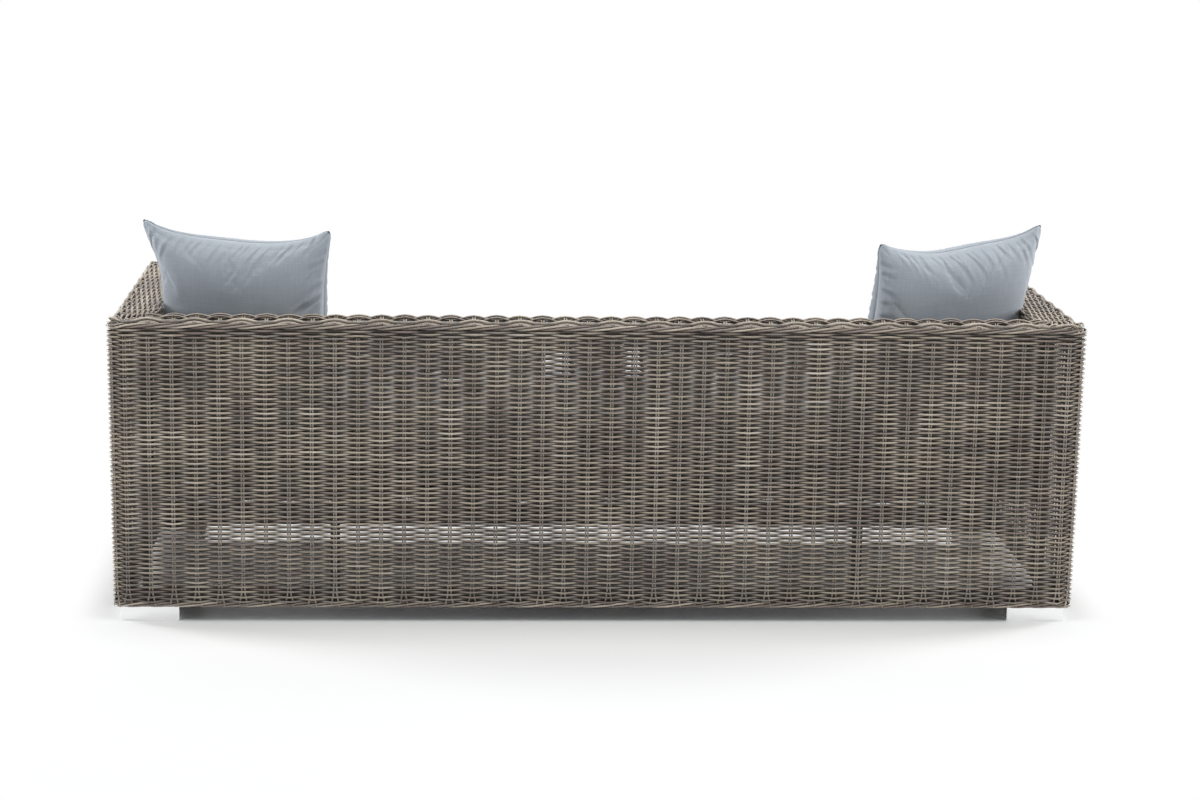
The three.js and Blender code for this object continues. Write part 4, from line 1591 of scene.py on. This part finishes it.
def make_cushion(side, grid, points, turn):
    body = f"{side}_cushion"
    node = f"seat_cushion_{side}"
    low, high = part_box(node)
    size = np.array((high.x - low.x, high.y - low.y, CUSHION_EDGE))
    foot = np.array(((low.x + high.x) / 2, (low.y + high.y) / 2, low.z))
    placed = points + foot
    placed[:, 2] = np.maximum(placed[:, 2], low.z)
    mesh = grid.mesh(f"{body}_cover", placed)
    if turn[0] * turn[1] < 0:
        mesh.flip_normals()
    across, deep, up = (grid.shares * size / 2).T
    add_attribute(mesh, "cloth", np.stack([across, np.zeros_like(across), deep + up], axis=1))
    cover = add_piece(f"{body}_cover", mesh, seat_fabric, body, [node])
    rounded = cover.modifiers.new("rounded", "SUBSURF")
    rounded.levels = 1
    rounded.render_levels = 1
    rings = [placed[seam_ring(grid.shares, level)] for level in (-1, 1)]
    lines = [ring - np.array((0, 0, level * PIPING / 2)) for ring, level in zip(rings, (-1, 1))]
    outward = [unit((line - foot) * np.array((1, 1, 0))) for line in lines]
    piping_and_seam_shadow_cord(f"{body}_piping", lines, outward, PIPING, piping_fabric, body, "seat_fabric")


def make_cushions():
    grid = BoxGrid(CUSHION_CELLS)
    low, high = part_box("seat_cushion_middle")
    width = high.x - low.x
    depth = high.y - low.y
    shape = cushion_shape(grid.shares, width, depth)
    start = grid.mesh("cushion_start", shape)
    points = shape
    points = settle(start, shape, simulate(start, None, **CUSHION_RUN), **CUSHION_KEPT)
    points = points - np.array((0, 0, 1)) * cushion_creases(grid.shares, width, depth)[:, None]
    for side, turn in CUSHION_TURNS.items():
        make_cushion(side, grid, points * np.array(turn), turn)


fine_grid = pillow_grid(2 * PILLOW_CELLS)
for side in ("left", "right"):
    make_pillow(side, fine_grid)
make_cushions()


# CAD pieces that keep their shape

for name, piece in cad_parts.items():
    if name.startswith("foot_bolt"):
        finish = zinc
    elif name.startswith("foot"):
        finish = brushed_metal
    else:
        finish = powder_coat
    piece.data.materials.clear()
    piece.data.materials.append(finish)


# Floor, light and camera

def make_floor():
    half = FLOOR_SIZE / 2
    corners = [(-half, -half, 0), (half, -half, 0), (half, half, 0), (-half, half, 0)]
    mesh = bpy.data.meshes.new("floor")
    mesh.from_pydata(corners, [], [(0, 1, 2, 3)])
    mesh.materials.append(floor_material())
    new_object("floor", mesh)


def make_world():
    world = bpy.data.worlds.new("surround")
    bpy.context.scene.world = world
    graph = Graph(world)
    seen = graph.seen_rays()
    graph.fill(graph.nodes["Background"], {
        "Color": graph.ramp(seen, (0, 1), (WORLD_TINT, WHITE)),
        "Strength": graph.add("MapRange", {"Value": seen, "To Min": WORLD_LIGHT, "To Max": 1.0}),
    })


def make_lamp(name, place, aim, size, power, colour):
    data = bpy.data.lights.new(name, "AREA")
    data.shape = "RECTANGLE"
    data.size, data.size_y = size
    data.energy = power
    data.color = colour
    lamp = new_object(name, data)
    lamp.location = place
    lamp.rotation_euler = (Vector(aim) - Vector(place)).to_track_quat("-Z", "Y").to_euler()


def make_camera():
    data = bpy.data.cameras.new("camera")
    data.sensor_fit = "HORIZONTAL"
    data.sensor_width = SENSOR_MM
    data.lens = FOCAL_PIXELS / IMAGE_WIDTH * SENSOR_MM
    data.clip_end = CAMERA_REACH
    camera = new_object("camera", data)
    turn = Matrix.Rotation(math.pi - CAMERA_TURN, 4, "Z")
    down = Matrix.Rotation(math.pi / 2 - CAMERA_DOWN, 4, "X")
    roll = Matrix.Rotation(CAMERA_ROLL, 4, "Z")
    camera.matrix_world = Matrix.Translation(CAMERA_PLACE) @ turn @ down @ roll
    bpy.context.scene.camera = camera


make_floor()
make_world()
for lamp in LAMPS:
    make_lamp(*lamp)
make_camera()
bpy.context.scene.view_settings.view_transform = "Standard"
